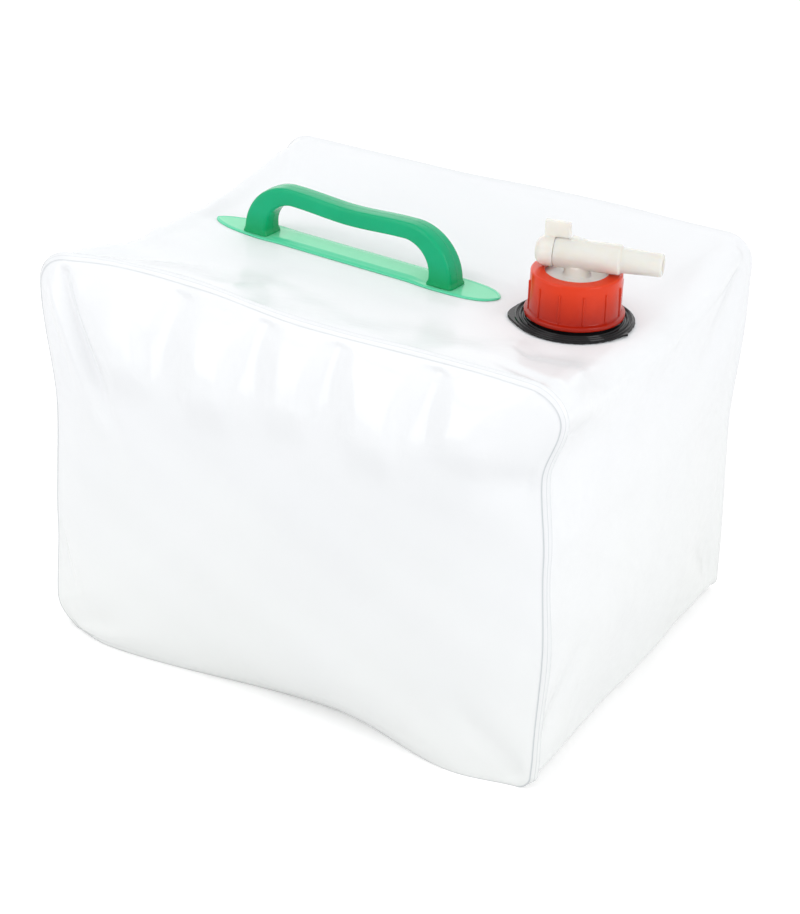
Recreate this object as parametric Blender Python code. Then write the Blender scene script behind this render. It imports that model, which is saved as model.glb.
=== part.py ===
"""Collapsible water carrier: a box-shaped bag of clear film with a moulded carrying handle, and a
filler neck whose screwed ring clamps a dispensing tap. Metres, +Z up. The origin is at the middle
of the bag's underside, +X runs along the bag towards the closure, and -Y is the front panel."""

import math

import bmesh
import bpy
from mathutils import Matrix, Vector

# Driving dimensions: the bag
bag_length = 0.337
bag_depth = 0.267
bag_height = 0.250
film_thickness = 0.0006
top_corner_radius = 0.014
bottom_corner_radius = 0.012
top_sag = 0.015
seat_half_width = 0.043
side_waist = 0.001
panel_bulge = 0.011
panel_fullness = 6
weld_lip = 0.005
upper_lip_angle = math.radians(45)
floor_lip_angle = math.radians(90)
piece_gap = 0.0003

# Driving dimensions: the handle
patch_to_flange = 0.017
patch_length = 0.206
patch_width = 0.0272
patch_thickness = 0.0008
patch_fullness = 6
patch_sharpness = 0.6
grip_length = 0.150
grip_height = 0.0355
leg_width = 0.0155
grip_width = 0.0125
leg_thickness = 0.016
grip_thickness = 0.0108
grip_bend_radius = 0.025
grip_dip = 0.002
grip_edge_radius = 0.0025

# Driving dimensions: the filler neck
closure_inset = 0.051
closure_y = -0.006
neck_bore_radius = 0.0200
neck_wall = 0.0022
neck_inside_depth = 0.0012
flange_radius = 0.0355
flange_thickness = 0.0015
flange_ridge_height = 0.0008
flange_ridge_width = 0.0013
flange_ridge_slope = 0.0003
flange_ridges = 3
collar_radius = 0.0262
collar_height = 0.0026
thread_pitch = 0.004
thread_turns = 1.75
thread_depth = 0.0012
thread_base = 0.0018
thread_crest = 0.0009
thread_below_rim = 0.004
thread_clearance = 0.0005
thread_root_sink = 0.0004

# Driving dimensions: the screwed ring
ring_radius = 0.0270
ring_top_radius = 0.0266
ring_height = 0.0265
ring_top_thickness = 0.0025
ring_hole_radius = 0.0183
ring_edge_chamfer = 0.0012
bead_radius = 0.0293
bead_height = 0.0025
rib_count = 11
rib_width = 0.0014
rib_height = 0.0005
rib_top_margin = 0.006
first_rib_angle = math.radians(-80)

# Driving dimensions: the gasket and the tap
gasket_radius = 0.0219
gasket_hole_radius = 0.0175
gasket_thickness = 0.0012
disc_thickness = 0.0022
spigot_wall = 0.0015
spigot_depth = 0.004
stub_radius = 0.0075
channel_radius = 0.0042
barrel_radius = 0.0088
barrel_over_ring = 0.0007
barrel_back = 0.0134
barrel_front = 0.0252
barrel_edge = 0.0006
nozzle_length = 0.0241
nozzle_base_radius = 0.0075
nozzle_tip_radius = 0.0067
nozzle_bore_radius = 0.0044
nozzle_chamfer = 0.0008
plug_seat_radius = 0.0056
plug_seat_reach = 0.0125
tap_direction = math.radians(14)

# Driving dimensions: the tap's plug and lever
plug_clearance = 0.0001
plug_end_gap = 0.0008
plug_bore_radius = 0.0036
plug_bore_back = 0.0045
plug_port_radius = 0.0030
head_length = 0.0111
head_dome = 0.0055
lever_length = 0.0151
lever_back = 0.0199
lever_reach = 0.0190
lever_thickness = 0.0030
lever_over_barrel = 0.0005
lever_edge = 0.0006

# Mesh fineness
arc_steps = 5
side_steps = 6
span_steps = 8
rise_steps = 6
round_steps = 32
dome_steps = 4
thread_fade_steps = 4
bend_steps = 7
bar_steps = 5
leaf_steps = 28
panel_ring_shares = (0.5, 0.75, 0.88, 0.96, 1.0)
cut_overrun = 0.002
half_facet = math.pi / round_steps

# Places that several pieces share
film_top = bag_height - top_sag
half_length = bag_length / 2
half_depth = bag_depth / 2
half_band = half_depth - piece_gap
closure_x = half_length - closure_inset
handle_x = closure_x - flange_radius - patch_to_flange - patch_length / 2
flange_bottom = piece_gap
flange_top = flange_bottom + flange_thickness
collar_top = flange_top + collar_height
neck_radius = neck_bore_radius + neck_wall
thread_radius = neck_radius + thread_depth
ring_bottom = collar_top + piece_gap
ring_top = ring_bottom + ring_height
ring_ceiling = ring_top - ring_top_thickness
ring_bore_radius = thread_radius + thread_clearance
ring_thread_radius = neck_radius + thread_clearance
disc_top = ring_ceiling - piece_gap
disc_bottom = disc_top - disc_thickness
gasket_top = disc_bottom - piece_gap
gasket_bottom = gasket_top - gasket_thickness
neck_top = gasket_bottom - piece_gap
neck_thread_start = neck_top - thread_below_rim - thread_pitch * thread_turns
ring_thread_start = neck_thread_start - thread_pitch / 2
barrel_height = ring_top + barrel_over_ring + barrel_radius


def clear_scene():
    for item in list(bpy.data.objects):
        bpy.data.objects.remove(item, do_unlink=True)


def finish(name, colour, roughness, alpha=1.0):
    """A plain plastic finish for one piece."""
    made = bpy.data.materials.new(name)
    made.use_nodes = True
    shader = made.node_tree.nodes["Principled BSDF"]
    shader.inputs["Base Color"].default_value = (*colour, 1.0)
    shader.inputs["Roughness"].default_value = roughness
    shader.inputs["Metallic"].default_value = 0.0
    shader.inputs["Alpha"].default_value = alpha
    return made


def place(name, bm, material, parent=None, smooth=True):
    """Turns a bmesh into a named object under its parent."""
    mesh = bpy.data.meshes.new(name)
    bm.to_mesh(mesh)
    bm.free()
    if smooth:
        mesh.shade_smooth()
        mesh.set_sharp_from_angle(angle=math.radians(35))
    made = bpy.data.objects.new(name, mesh)
    if material:
        mesh.materials.append(material)
    made.parent = parent
    bpy.context.scene.collection.objects.link(made)
    return made


def axis_empty(name, location, turn=0.0, parent=None):
    """An empty on a joint's axis, which carries the pieces that move about it."""
    made = bpy.data.objects.new(name, None)
    made.location = location
    made.rotation_euler = (0.0, 0.0, turn)
    made.parent = parent
    bpy.context.scene.collection.objects.link(made)
    return made


def combine(piece, name, bm, operation):
    """Joins a second shape to a piece, or cuts it away, and keeps that shape as a hidden guide."""
    guide = place(name, bm, None, piece.parent, smooth=False)
    guide.hide_render = True
    guide.display_type = "WIRE"
    change = piece.modifiers.new(name, "BOOLEAN")
    change.operation = operation
    change.solver = "EXACT"
    change.object = guide


def turned(profile, closed=False):
    """A solid of revolution about Z. The profile is a list of (radius, height)."""
    bm = bmesh.new()
    points = [bm.verts.new((radius, 0.0, height)) for radius, height in profile]
    pairs = list(zip(points, points[1:]))
    if closed:
        pairs.append((points[-1], points[0]))
    lines = [bm.edges.new(pair) for pair in pairs]
    bmesh.ops.spin(
        bm,
        geom=points + lines,
        cent=(0.0, 0.0, 0.0),
        axis=(0.0, 0.0, 1.0),
        angle=math.tau,
        steps=round_steps,
        use_duplicate=False,
    )
    bmesh.ops.remove_doubles(bm, verts=bm.verts, dist=piece_gap / 100)
    bmesh.ops.recalc_face_normals(bm, faces=bm.faces)
    return bm


def laid_along_x(bm):
    """Turns a shape that was made about Z so that its height runs along +X. It is also turned by
    half a facet, so that no edge lies in the upright or the level plane through its axis."""
    bm.transform(Matrix.Rotation(math.radians(90), 4, "Y") @ Matrix.Rotation(half_facet, 4, "Z"))
    return bm


def sheet(rows):
    """An open surface through rows of points."""
    bm = bmesh.new()
    grid = [[bm.verts.new(point) for point in row] for row in rows]
    for near, far in zip(grid, grid[1:]):
        for a, b, c, d in zip(near, near[1:], far[1:], far):
            bm.faces.new((a, b, c, d))
    return bm


def thicken(piece, thickness, side):
    """Gives a film surface its wall. Side 1 adds it along the normals, and -1 against them."""
    wall = piece.modifiers.new("film wall", "SOLIDIFY")
    wall.thickness = thickness
    wall.offset = side
    wall.use_even_offset = True


def share_steps(steps):
    """Shares from 0 to 1 in equal steps."""
    return [step / steps for step in range(steps + 1)]


def smooth_step(share):
    share = min(max(share, 0.0), 1.0)
    return share * share * (3 - 2 * share)


def top_height(y):
    """Height of the top film: level over the seat strip, and rising to the front and back seams."""
    return bag_height - top_sag * smooth_step((half_depth - abs(y)) / (half_depth - seat_half_width))


def band_places():
    """The places along Y of the band's rows of points: the seat strip's edges and the rise beside it."""
    rise = [seat_half_width + (half_band - seat_half_width) * share for share in share_steps(rise_steps)]
    return [-y for y in reversed(rise)] + rise


def arc(centre_x, centre_z, radius, first, last):
    """Points on a round corner of the bag's outline, between two angles."""
    return [
        (
            centre_x + radius * math.cos(first + (last - first) * share),
            centre_z + radius * math.sin(first + (last - first) * share),
        )
        for share in share_steps(arc_steps)
    ]


def side_run(height):
    """The bag's right side in X and Z, from the floor round both corners to a top at that height."""
    quarter = math.radians(90)
    low_centre = half_length - bottom_corner_radius
    low = arc(low_centre, bottom_corner_radius, bottom_corner_radius, -quarter, 0.0)
    high_centre = half_length - top_corner_radius
    high = arc(high_centre, height - top_corner_radius, top_corner_radius, 0.0, quarter)
    rise = height - top_corner_radius - bottom_corner_radius
    middle = [
        (half_length - side_waist * math.sin(math.pi * share) ** 2, bottom_corner_radius + rise * share)
        for share in share_steps(side_steps)[1:-1]
    ]
    return low + middle + high


def seam_outline():
    """The closed outline of a front or back panel, as (x, z) points that run round it."""
    right = side_run(bag_height)
    left = [(-x, z) for x, z in reversed(right)]
    top = [
        (right[-1][0] + (left[0][0] - right[-1][0]) * share, bag_height)
        for share in share_steps(span_steps)[1:-1]
    ]
    bottom = [
        (left[-1][0] + (right[0][0] - left[-1][0]) * share, 0.0)
        for share in share_steps(span_steps)[1:-1]
    ]
    return right + top + left + bottom


def outward(points, index):
    """The outline's normal at one of its points, from the two points beside it."""
    before = points[index - 1]
    after = points[(index + 1) % len(points)]
    across = Vector((after[1] - before[1], before[0] - after[0]))
    return across.normalized()


def seam_panel(name, side, material):
    """The front or back panel: a sheet that swells like a pillow, with a weld lip all round it.
    The lip stands half upwards, and lies forwards where the panel meets the floor."""
    outline = seam_outline()
    middle_z = bag_height / 2
    bm = bmesh.new()
    centre = bm.verts.new((0.0, side * (half_depth + panel_bulge), middle_z))
    rings = []
    for share in panel_ring_shares:
        reach = half_depth + panel_bulge * (1 - share**panel_fullness)
        ring = []
        for x, z in outline:
            ring.append(bm.verts.new((x * share, side * reach, middle_z + (z - middle_z) * share)))
        rings.append(ring)
    lip = []
    for index, (x, z) in enumerate(outline):
        rise = smooth_step(z / bottom_corner_radius)
        angle = floor_lip_angle + (upper_lip_angle - floor_lip_angle) * rise
        normal = outward(outline, index)
        flat = weld_lip * math.cos(angle)
        lip_y = side * (half_depth + weld_lip * math.sin(angle))
        lip.append(bm.verts.new((x + normal.x * flat, lip_y, z + normal.y * flat)))
    rings.append(lip)
    count = len(outline)
    for index in range(count):
        following = (index + 1) % count
        bm.faces.new((centre, rings[0][index], rings[0][following]))
        for inner, outer in zip(rings, rings[1:]):
            bm.faces.new((inner[index], outer[index], outer[following], inner[following]))
    panel = place(name, bm, material)
    thicken(panel, film_thickness, -side)


def side_panel(name, side, material):
    """A side panel of the band, with the round folds that lead to the floor and to the top film."""
    rows = [[(side * x, y, z) for x, z in side_run(top_height(y))] for y in band_places()]
    panel = place(name, sheet(rows), material)
    thicken(panel, film_thickness, side)


def bottom_panel(material):
    """The band's flat underside."""
    end = half_length - bottom_corner_radius - piece_gap
    rows = [[(x, -half_band, 0.0), (x, half_band, 0.0)] for x in (-end, end)]
    panel = place("bottom_panel", sheet(rows), material)
    thicken(panel, film_thickness, -1)


def top_panel(material):
    """The band's top film, which sags between the seams and has the hole for the filler neck."""
    end = half_length - top_corner_radius - piece_gap
    rows = [[(x, y, top_height(y)) for y in band_places()] for x in (-end, end)]
    panel = place("top_panel", sheet(rows), material)
    thicken(panel, film_thickness, 1)
    hole_radius = neck_radius + piece_gap
    low = film_top - film_thickness - cut_overrun
    high = film_top + cut_overrun
    hole = turned([(0.0, high), (hole_radius, high), (hole_radius, low), (0.0, low)])
    hole.transform(Matrix.Translation((closure_x, closure_y, 0.0)))
    combine(panel, "neck hole", hole, "DIFFERENCE")


def handle_patch(material):
    """The leaf-shaped patch that is welded to the top film and spreads the handle's pull."""
    half = patch_length / 2
    edge = []
    for step in range(leaf_steps):
        turn = math.tau * step / leaf_steps
        across = abs(math.sin(turn)) ** (2 * patch_sharpness)
        along = abs(math.cos(turn)) ** (2 / patch_fullness)
        edge.append(
            (
                handle_x + math.copysign(half * along, math.cos(turn)),
                math.copysign(patch_width / 2 * across, math.sin(turn)),
            )
        )
    bm = bmesh.new()
    base = film_top + piece_gap
    leaf = bm.faces.new([bm.verts.new((x, y, base)) for x, y in edge])
    raised = bmesh.ops.extrude_face_region(bm, geom=[leaf])
    tops = [item for item in raised["geom"] if isinstance(item, bmesh.types.BMVert)]
    bmesh.ops.translate(bm, verts=tops, vec=(0.0, 0.0, patch_thickness))
    bmesh.ops.recalc_face_normals(bm, faces=bm.faces)
    place("handle_patch", bm, material, smooth=False)


def grip_path(foot):
    """The grip's middle line from foot to foot, as (place, share) with the share of leg in its
    section: upright legs, round bends, and a bar with a shallow dip for the hand."""
    reach = (grip_length - leg_thickness) / 2
    flat = reach - grip_bend_radius
    crown = grip_height - (foot - film_top) - grip_thickness / 2
    right = [(Vector((reach, 0.0)), 1.0)]
    for share in share_steps(bend_steps):
        turn = math.radians(90) * share
        out = flat + grip_bend_radius * math.cos(turn)
        up = crown - grip_bend_radius + grip_bend_radius * math.sin(turn)
        right.append((Vector((out, up)), 1 - share))
    for share in share_steps(bar_steps)[1:]:
        right.append((Vector((flat * (1 - share), crown - grip_dip * smooth_step(share))), 0.0))
    left = [(Vector((-point.x, point.y)), leg) for point, leg in right[:-1]]
    return left + right[::-1]


def handle_grip(material):
    """The arched grip: stout legs that thin into the bar."""
    foot = film_top + piece_gap + patch_thickness + piece_gap
    path = grip_path(foot)
    last = len(path) - 1
    rows = [[], []]
    bm = bmesh.new()
    for index, (point, leg) in enumerate(path):
        tangent = (path[min(index + 1, last)][0] - path[max(index - 1, 0)][0]).normalized()
        if index in (0, last):
            tangent = Vector((0.0, math.copysign(1.0, -point.x)))
        normal = Vector((-tangent.y, tangent.x))
        half = (grip_thickness + (leg_thickness - grip_thickness) * leg) / 2
        width = grip_width + (leg_width - grip_width) * leg
        for row, y in zip(rows, (-width / 2, width / 2)):
            outer = point + normal * half
            inner = point - normal * half
            row.append((bm.verts.new((handle_x + outer.x, y, foot + outer.y)),
                        bm.verts.new((handle_x + inner.x, y, foot + inner.y))))
    for index in range(last):
        for row in rows:
            bm.faces.new((row[index][0], row[index + 1][0], row[index + 1][1], row[index][1]))
        for level in (0, 1):
            bm.faces.new((rows[0][index][level], rows[0][index + 1][level],
                          rows[1][index + 1][level], rows[1][index][level]))
    for index in (0, last):
        bm.faces.new((rows[0][index][0], rows[0][index][1], rows[1][index][1], rows[1][index][0]))
    bmesh.ops.recalc_face_normals(bm, faces=bm.faces)
    grip = place("handle_grip", bm, material)
    edges = grip.modifiers.new("rounded edges", "BEVEL")
    edges.width = grip_edge_radius
    edges.segments = 2
    edges.limit_method = "ANGLE"
    edges.angle_limit = math.radians(60)


def thread_ridge(root_radius, crest_radius, start_height):
    """A right-hand thread ridge whose height fades away at both ends, which lie in mid-facet."""
    bm = bmesh.new()
    steps = round(thread_turns * round_steps)
    inwards = math.copysign(thread_root_sink, crest_radius - root_radius)
    sections = []
    for step in range(steps + 1):
        turn = math.tau * step / round_steps + half_facet
        height = start_height + thread_pitch * step / round_steps
        fade = min(1.0, min(step + 1, steps - step + 1) / (thread_fade_steps + 1))
        crest = root_radius + (crest_radius - root_radius) * fade
        section = []
        for radius, offset in (
            (root_radius - inwards, -thread_base / 2),
            (crest, -thread_crest / 2),
            (crest, thread_crest / 2),
            (root_radius - inwards, thread_base / 2),
        ):
            point = (radius * math.cos(turn), radius * math.sin(turn), height + offset)
            section.append(bm.verts.new(point))
        sections.append(section)
    for near, far in zip(sections, sections[1:]):
        for index in range(4):
            following = (index + 1) % 4
            bm.faces.new((near[index], near[following], far[following], far[index]))
    bm.faces.new(sections[0])
    bm.faces.new(sections[-1])
    bmesh.ops.recalc_face_normals(bm, faces=bm.faces)
    return bm


def filler_neck(parent, material):
    """The black neck: a threaded tube on a collar, with a ridged flange that is welded to the film."""
    profile = [
        (neck_bore_radius, neck_top),
        (neck_bore_radius, -film_thickness - neck_inside_depth),
        (neck_radius, -film_thickness - neck_inside_depth),
        (neck_radius, flange_bottom),
        (flange_radius, flange_bottom),
    ]
    spacing = (flange_radius - collar_radius) / flange_ridges
    for index in range(flange_ridges):
        outside = flange_radius - spacing * index
        profile += [
            (outside, flange_top),
            (outside - flange_ridge_slope, flange_top + flange_ridge_height),
            (outside - flange_ridge_width + flange_ridge_slope, flange_top + flange_ridge_height),
            (outside - flange_ridge_width, flange_top),
        ]
    profile += [
        (collar_radius, flange_top),
        (collar_radius, collar_top),
        (neck_radius, collar_top),
        (neck_radius, neck_top),
    ]
    neck = place("filler_neck", turned(profile, closed=True), material, parent)
    thread = thread_ridge(neck_radius, thread_radius, neck_thread_start)
    combine(neck, "neck thread", thread, "UNION")


def cap_ring(parent, material):
    """The screwed ring: a ribbed skirt with a bead at its foot and a wide hole in its top."""
    profile = [
        (ring_bore_radius, ring_bottom),
        (bead_radius - ring_edge_chamfer / 2, ring_bottom),
        (bead_radius, ring_bottom + ring_edge_chamfer / 2),
        (bead_radius, ring_bottom + bead_height - ring_edge_chamfer / 2),
        (ring_radius, ring_bottom + bead_height + ring_edge_chamfer / 2),
        (ring_top_radius, ring_top - ring_edge_chamfer),
        (ring_top_radius - ring_edge_chamfer, ring_top),
        (ring_hole_radius, ring_top),
        (ring_hole_radius, ring_ceiling),
        (ring_bore_radius, ring_ceiling),
    ]
    ring = place("cap_ring", turned(profile, closed=True), material, parent)
    thread = thread_ridge(ring_bore_radius, ring_thread_radius, ring_thread_start)
    combine(ring, "ring thread", thread, "UNION")
    ribs = bmesh.new()
    foot = ring_bottom + bead_height / 2
    height = ring_height - bead_height / 2 - rib_top_margin
    root = ring_bore_radius + (ring_top_radius - ring_bore_radius) / 2
    depth = ring_radius + rib_height - root
    for index in range(rib_count):
        turn = first_rib_angle + math.tau * index / rib_count
        shape = (
            Matrix.Rotation(turn, 4, "Z")
            @ Matrix.Translation((root + depth / 2, 0.0, foot + height / 2))
            @ Matrix.Diagonal((depth, rib_width, height, 1.0))
        )
        bmesh.ops.create_cube(ribs, size=1.0, matrix=shape)
    combine(ring, "ring ribs", ribs, "UNION")


def tap_gasket(parent, material):
    """The flat washer that seals the tap's disc against the neck's rim."""
    profile = [
        (gasket_hole_radius, gasket_bottom),
        (gasket_radius, gasket_bottom),
        (gasket_radius, gasket_top),
        (gasket_hole_radius, gasket_top),
    ]
    place("tap_gasket", turned(profile, closed=True), material, parent)


def tap_body(parent, material):
    """The tap: a disc under the ring, a short stub, and a barrel that ends in the nozzle."""
    spigot_radius = gasket_hole_radius - piece_gap
    stub_top = barrel_height - math.sqrt(barrel_radius**2 - stub_radius**2) / 2
    channel_top = barrel_height - math.sqrt(plug_seat_radius**2 - channel_radius**2) / 2
    foot = [
        (0.0, disc_bottom),
        (spigot_radius - spigot_wall, disc_bottom),
        (spigot_radius - spigot_wall, disc_bottom - spigot_depth),
        (spigot_radius, disc_bottom - spigot_depth),
        (spigot_radius, disc_bottom),
        (gasket_radius, disc_bottom),
        (gasket_radius, disc_top),
        (stub_radius, disc_top),
        (stub_radius, stub_top),
        (0.0, stub_top),
    ]
    body = place("tap_body", turned(foot), material, parent)
    tip = barrel_front + nozzle_length
    barrel = laid_along_x(
        turned(
            [
                (0.0, -barrel_back),
                (barrel_radius - barrel_edge, -barrel_back),
                (barrel_radius, -barrel_back + barrel_edge),
                (barrel_radius, barrel_front - barrel_edge),
                (barrel_radius - barrel_edge, barrel_front),
                (nozzle_base_radius, barrel_front),
                (nozzle_tip_radius, tip - nozzle_chamfer),
                (nozzle_tip_radius - nozzle_chamfer, tip),
                (0.0, tip),
            ]
        )
    )
    barrel.transform(Matrix.Translation((0.0, 0.0, barrel_height)))
    combine(body, "barrel", barrel, "UNION")
    low = disc_bottom - cut_overrun
    channel = turned([(0.0, low), (channel_radius, low), (channel_radius, channel_top), (0.0, channel_top)])
    combine(body, "tap channel", channel, "DIFFERENCE")
    bore = laid_along_x(
        turned(
            [
                (0.0, -barrel_back - cut_overrun),
                (plug_seat_radius, -barrel_back - cut_overrun),
                (plug_seat_radius, plug_seat_reach),
                (nozzle_bore_radius, plug_seat_reach),
                (nozzle_bore_radius, tip + cut_overrun),
                (0.0, tip + cut_overrun),
            ]
        )
    )
    bore.transform(Matrix.Translation((0.0, 0.0, barrel_height)))
    combine(body, "tap bore", bore, "DIFFERENCE")


def tap_plug(parent, material):
    """The plug that turns in the barrel: a domed head with its lever, and a hollow shaft whose
    side port looks forwards when the tap is shut and down the channel when it is open."""
    shaft_radius = plug_seat_radius - plug_clearance
    head_front = -barrel_back - piece_gap
    head_back = head_front - head_length
    shaft_end = plug_seat_reach - plug_end_gap
    profile = []
    for share in share_steps(dome_steps):
        turn = math.radians(90) * share
        profile.append(
            (
                (barrel_radius - head_dome) + head_dome * math.sin(turn),
                head_back + head_dome * (1 - math.cos(turn)),
            )
        )
    profile = [(0.0, head_back)] + profile
    profile += [
        (barrel_radius, head_front),
        (shaft_radius, head_front),
        (shaft_radius, shaft_end),
        (0.0, shaft_end),
    ]
    plug = place("tap_plug", laid_along_x(turned(profile)), material, parent)
    lever_foot = barrel_radius + lever_over_barrel
    head_sink = barrel_radius - head_dome
    lever = bmesh.new()
    outline = [
        (-lever_back, lever_reach),
        (-lever_back, head_sink),
        (head_front - piece_gap, head_sink),
        (head_front - piece_gap, lever_foot),
        (lever_length - lever_back, lever_foot),
        (lever_length - lever_back, lever_reach - lever_edge),
        (lever_length - lever_back - lever_edge, lever_reach),
    ]
    side = lever.faces.new([lever.verts.new((x, -lever_thickness / 2, z)) for x, z in outline])
    grown = bmesh.ops.extrude_face_region(lever, geom=[side])
    moved = [item for item in grown["geom"] if isinstance(item, bmesh.types.BMVert)]
    bmesh.ops.translate(lever, verts=moved, vec=(0.0, lever_thickness, 0.0))
    bmesh.ops.recalc_face_normals(lever, faces=lever.faces)
    combine(plug, "lever", lever, "UNION")
    port_end = shaft_radius + cut_overrun
    port = turned([(0.0, 0.0), (plug_port_radius, 0.0), (plug_port_radius, port_end), (0.0, port_end)])
    port.transform(Matrix.Rotation(math.radians(90), 4, "X"))
    combine(plug, "plug port", port, "DIFFERENCE")
    bore = laid_along_x(
        turned(
            [
                (0.0, -plug_bore_back),
                (plug_bore_radius, -plug_bore_back),
                (plug_bore_radius, shaft_end + cut_overrun),
                (0.0, shaft_end + cut_overrun),
            ]
        )
    )
    combine(plug, "plug bore", bore, "DIFFERENCE")


def main():
    clear_scene()
    film = finish("clear_film", (0.90, 0.93, 0.95), 0.12, 0.45)
    seam_panel("front_panel", -1, film)
    seam_panel("back_panel", 1, film)
    side_panel("left_side_panel", -1, film)
    side_panel("right_side_panel", 1, film)
    bottom_panel(film)
    top_panel(film)
    handle_patch(finish("patch_green", (0.25, 0.85, 0.50), 0.30, 0.8))
    handle_grip(finish("grip_green", (0.02, 0.48, 0.24), 0.32))
    closure = axis_empty("closure_axis", (closure_x, closure_y, film_top))
    filler_neck(closure, finish("neck_black", (0.012, 0.012, 0.014), 0.25))
    cap_ring(closure, finish("ring_red", (0.85, 0.09, 0.03), 0.30))
    tap_gasket(closure, finish("gasket_white", (0.82, 0.82, 0.80), 0.50))
    tap_axis = axis_empty("tap_axis", (0.0, 0.0, 0.0), tap_direction, closure)
    ivory = finish("tap_ivory", (0.86, 0.83, 0.74), 0.35)
    tap_body(tap_axis, ivory)
    plug_axis = axis_empty("plug_axis", (0.0, 0.0, barrel_height), 0.0, tap_axis)
    tap_plug(plug_axis, ivory)


main()
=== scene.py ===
"""Collapsible water carrier: a bag of clear film with a green carrying handle, a black filler neck, a
red screwed ring and an ivory tap. Metres, +Z up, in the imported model's frame."""

import math

import bmesh
import bpy
import numpy as np
from mathutils import Matrix, Vector


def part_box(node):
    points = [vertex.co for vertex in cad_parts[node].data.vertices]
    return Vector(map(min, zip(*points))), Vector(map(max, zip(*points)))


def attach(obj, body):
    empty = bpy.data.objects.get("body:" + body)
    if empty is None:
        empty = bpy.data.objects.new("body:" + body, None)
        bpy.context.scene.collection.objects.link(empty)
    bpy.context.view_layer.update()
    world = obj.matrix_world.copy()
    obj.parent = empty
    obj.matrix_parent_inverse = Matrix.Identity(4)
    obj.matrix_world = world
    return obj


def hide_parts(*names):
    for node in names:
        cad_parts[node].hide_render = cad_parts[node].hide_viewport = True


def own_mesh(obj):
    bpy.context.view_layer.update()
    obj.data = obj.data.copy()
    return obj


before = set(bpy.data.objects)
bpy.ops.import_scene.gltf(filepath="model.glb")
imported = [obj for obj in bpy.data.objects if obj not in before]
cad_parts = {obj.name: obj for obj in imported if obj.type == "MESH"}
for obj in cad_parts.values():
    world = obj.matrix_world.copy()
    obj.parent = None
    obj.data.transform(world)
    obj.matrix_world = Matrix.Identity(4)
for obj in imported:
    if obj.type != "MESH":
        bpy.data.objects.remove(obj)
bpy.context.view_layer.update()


# Camera. The photograph looks down over the bag's front right corner with a long lens, and it is
# turned a little, so the camera is rolled by the same amount.
camera_place = Vector((0.6101, -1.0685, 0.749))
camera_azimuth = math.radians(29.6755)
camera_elevation = math.radians(27.4757)
camera_roll = math.radians(1.7035)
lens_pixels = 2200.0
photo_height_pixels = 914.0
sensor_size_mm = 36.0

back_way = Vector(
    (
        math.sin(camera_azimuth) * math.cos(camera_elevation),
        -math.cos(camera_azimuth) * math.cos(camera_elevation),
        math.sin(camera_elevation),
    )
)
level_way = Vector((math.cos(camera_azimuth), math.sin(camera_azimuth), 0.0))
upright_way = back_way.cross(level_way)
right_way = level_way * math.cos(camera_roll) + upright_way * math.sin(camera_roll)
up_way = upright_way * math.cos(camera_roll) - level_way * math.sin(camera_roll)
camera = bpy.data.objects.new("camera", bpy.data.cameras.new("camera"))
camera_turn = Matrix((right_way, up_way, back_way)).transposed().to_4x4()
camera.matrix_world = Matrix.Translation(camera_place) @ camera_turn
camera.data.lens = lens_pixels / photo_height_pixels * sensor_size_mm
camera.data.sensor_width = sensor_size_mm
bpy.context.scene.collection.objects.link(camera)
bpy.context.scene.camera = camera


# Bag. A front and a back panel of clear film are welded to one band that runs round between them.
# The bag stands blown out, so the panels swell like a pillow, the flat lip of the front weld lies
# back over the band, and the film gathers in soft pleats below the seam.
film_gap = 0.0003
seat_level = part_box("handle_patch")[0].z - film_gap
bag_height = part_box("right_side_panel")[1].z
half_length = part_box("right_side_panel")[1].x
half_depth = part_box("right_side_panel")[1].y
handle_x = (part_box("handle_grip")[0].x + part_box("handle_grip")[1].x) / 2
closure_x = (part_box("cap_ring")[0].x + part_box("cap_ring")[1].x) / 2
closure_y = (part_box("cap_ring")[0].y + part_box("cap_ring")[1].y) / 2
upper_corner = 0.016
lower_right_corner = 0.009
lower_left_corner = 0.018
seat_half_width = 0.043
left_edge_sag = 0.009
right_edge_sag = 0.017
edge_band = 0.024
panel_swell = 0.015
panel_swell_power = 6
lip_length = 0.0048
lip_lean = math.radians(50)
lip_ply = 0.0008
lip_wiggle = math.radians(4)
back_lip_lean = math.radians(50)
back_lip_share = 0.36
back_weld_share = 0.12
top_weld_share = 0.6
weld_line = 0.00015
corner_steps = 14
side_rows = 96
top_rows = 168
floor_rows = 64
front_rings = 58
back_rings = 26
band_columns = 84
seat_margin = 0.012
neck_hole = 0.0232
neck_hole_depth = 0.003
floor_clearance = 0.0001
ring_crowding = 1.35
seam_hold = 0.05
seam_reach = 0.32
hang_start = 0.3
band_hold_start = 0.014
band_hold_reach = 0.045
patch_clear_length = 0.118
patch_clear_width = 0.028
patch_margin = 0.35
flange_clear_radius = 0.0385

# How the folds, the pillows, the waves of loose film and the lip's own waves run, with the waves in
# radians a metre.
fold_spread = 0.5
fold_lead = 0.2
fold_last = 1.15
fold_fade = 0.75
tongue_full = 0.8
tongue_last = 1.3
tongue_fade = 0.5
slow_wave_height = 0.0009
slow_wave_across = 41
slow_wave_up = 53
slow_phase = 1.7
quick_wave_height = 0.0004
quick_wave_across = 97
quick_wave_up = 61
quick_phase = 2.3
cross_wave_up = 83
cross_wave_across = 29
top_unrest = 1.2
front_phase = 0.0
back_phase = 5.0
right_phase = 0.4
left_phase = 2.1
top_phase = 3.3
lip_unevenness = 0.08
lip_wiggle_across = 61
lip_wiggle_up = 47
lip_uneven_across = 83
lip_uneven_up = 71

# The film's colours: its own tint with painted light, warmer near the floor and cooler near the top, and its
# grey in a weld.
film_low_painted_light_tint = (0.945, 0.965, 0.950)
film_high_painted_light_tint = (0.941, 0.957, 0.978)
weld_grey = (0.54, 0.57, 0.60, 1)


def ease(share):
    share = np.clip(share, 0.0, 1.0)
    return share * share * (3 - 2 * share)


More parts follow.
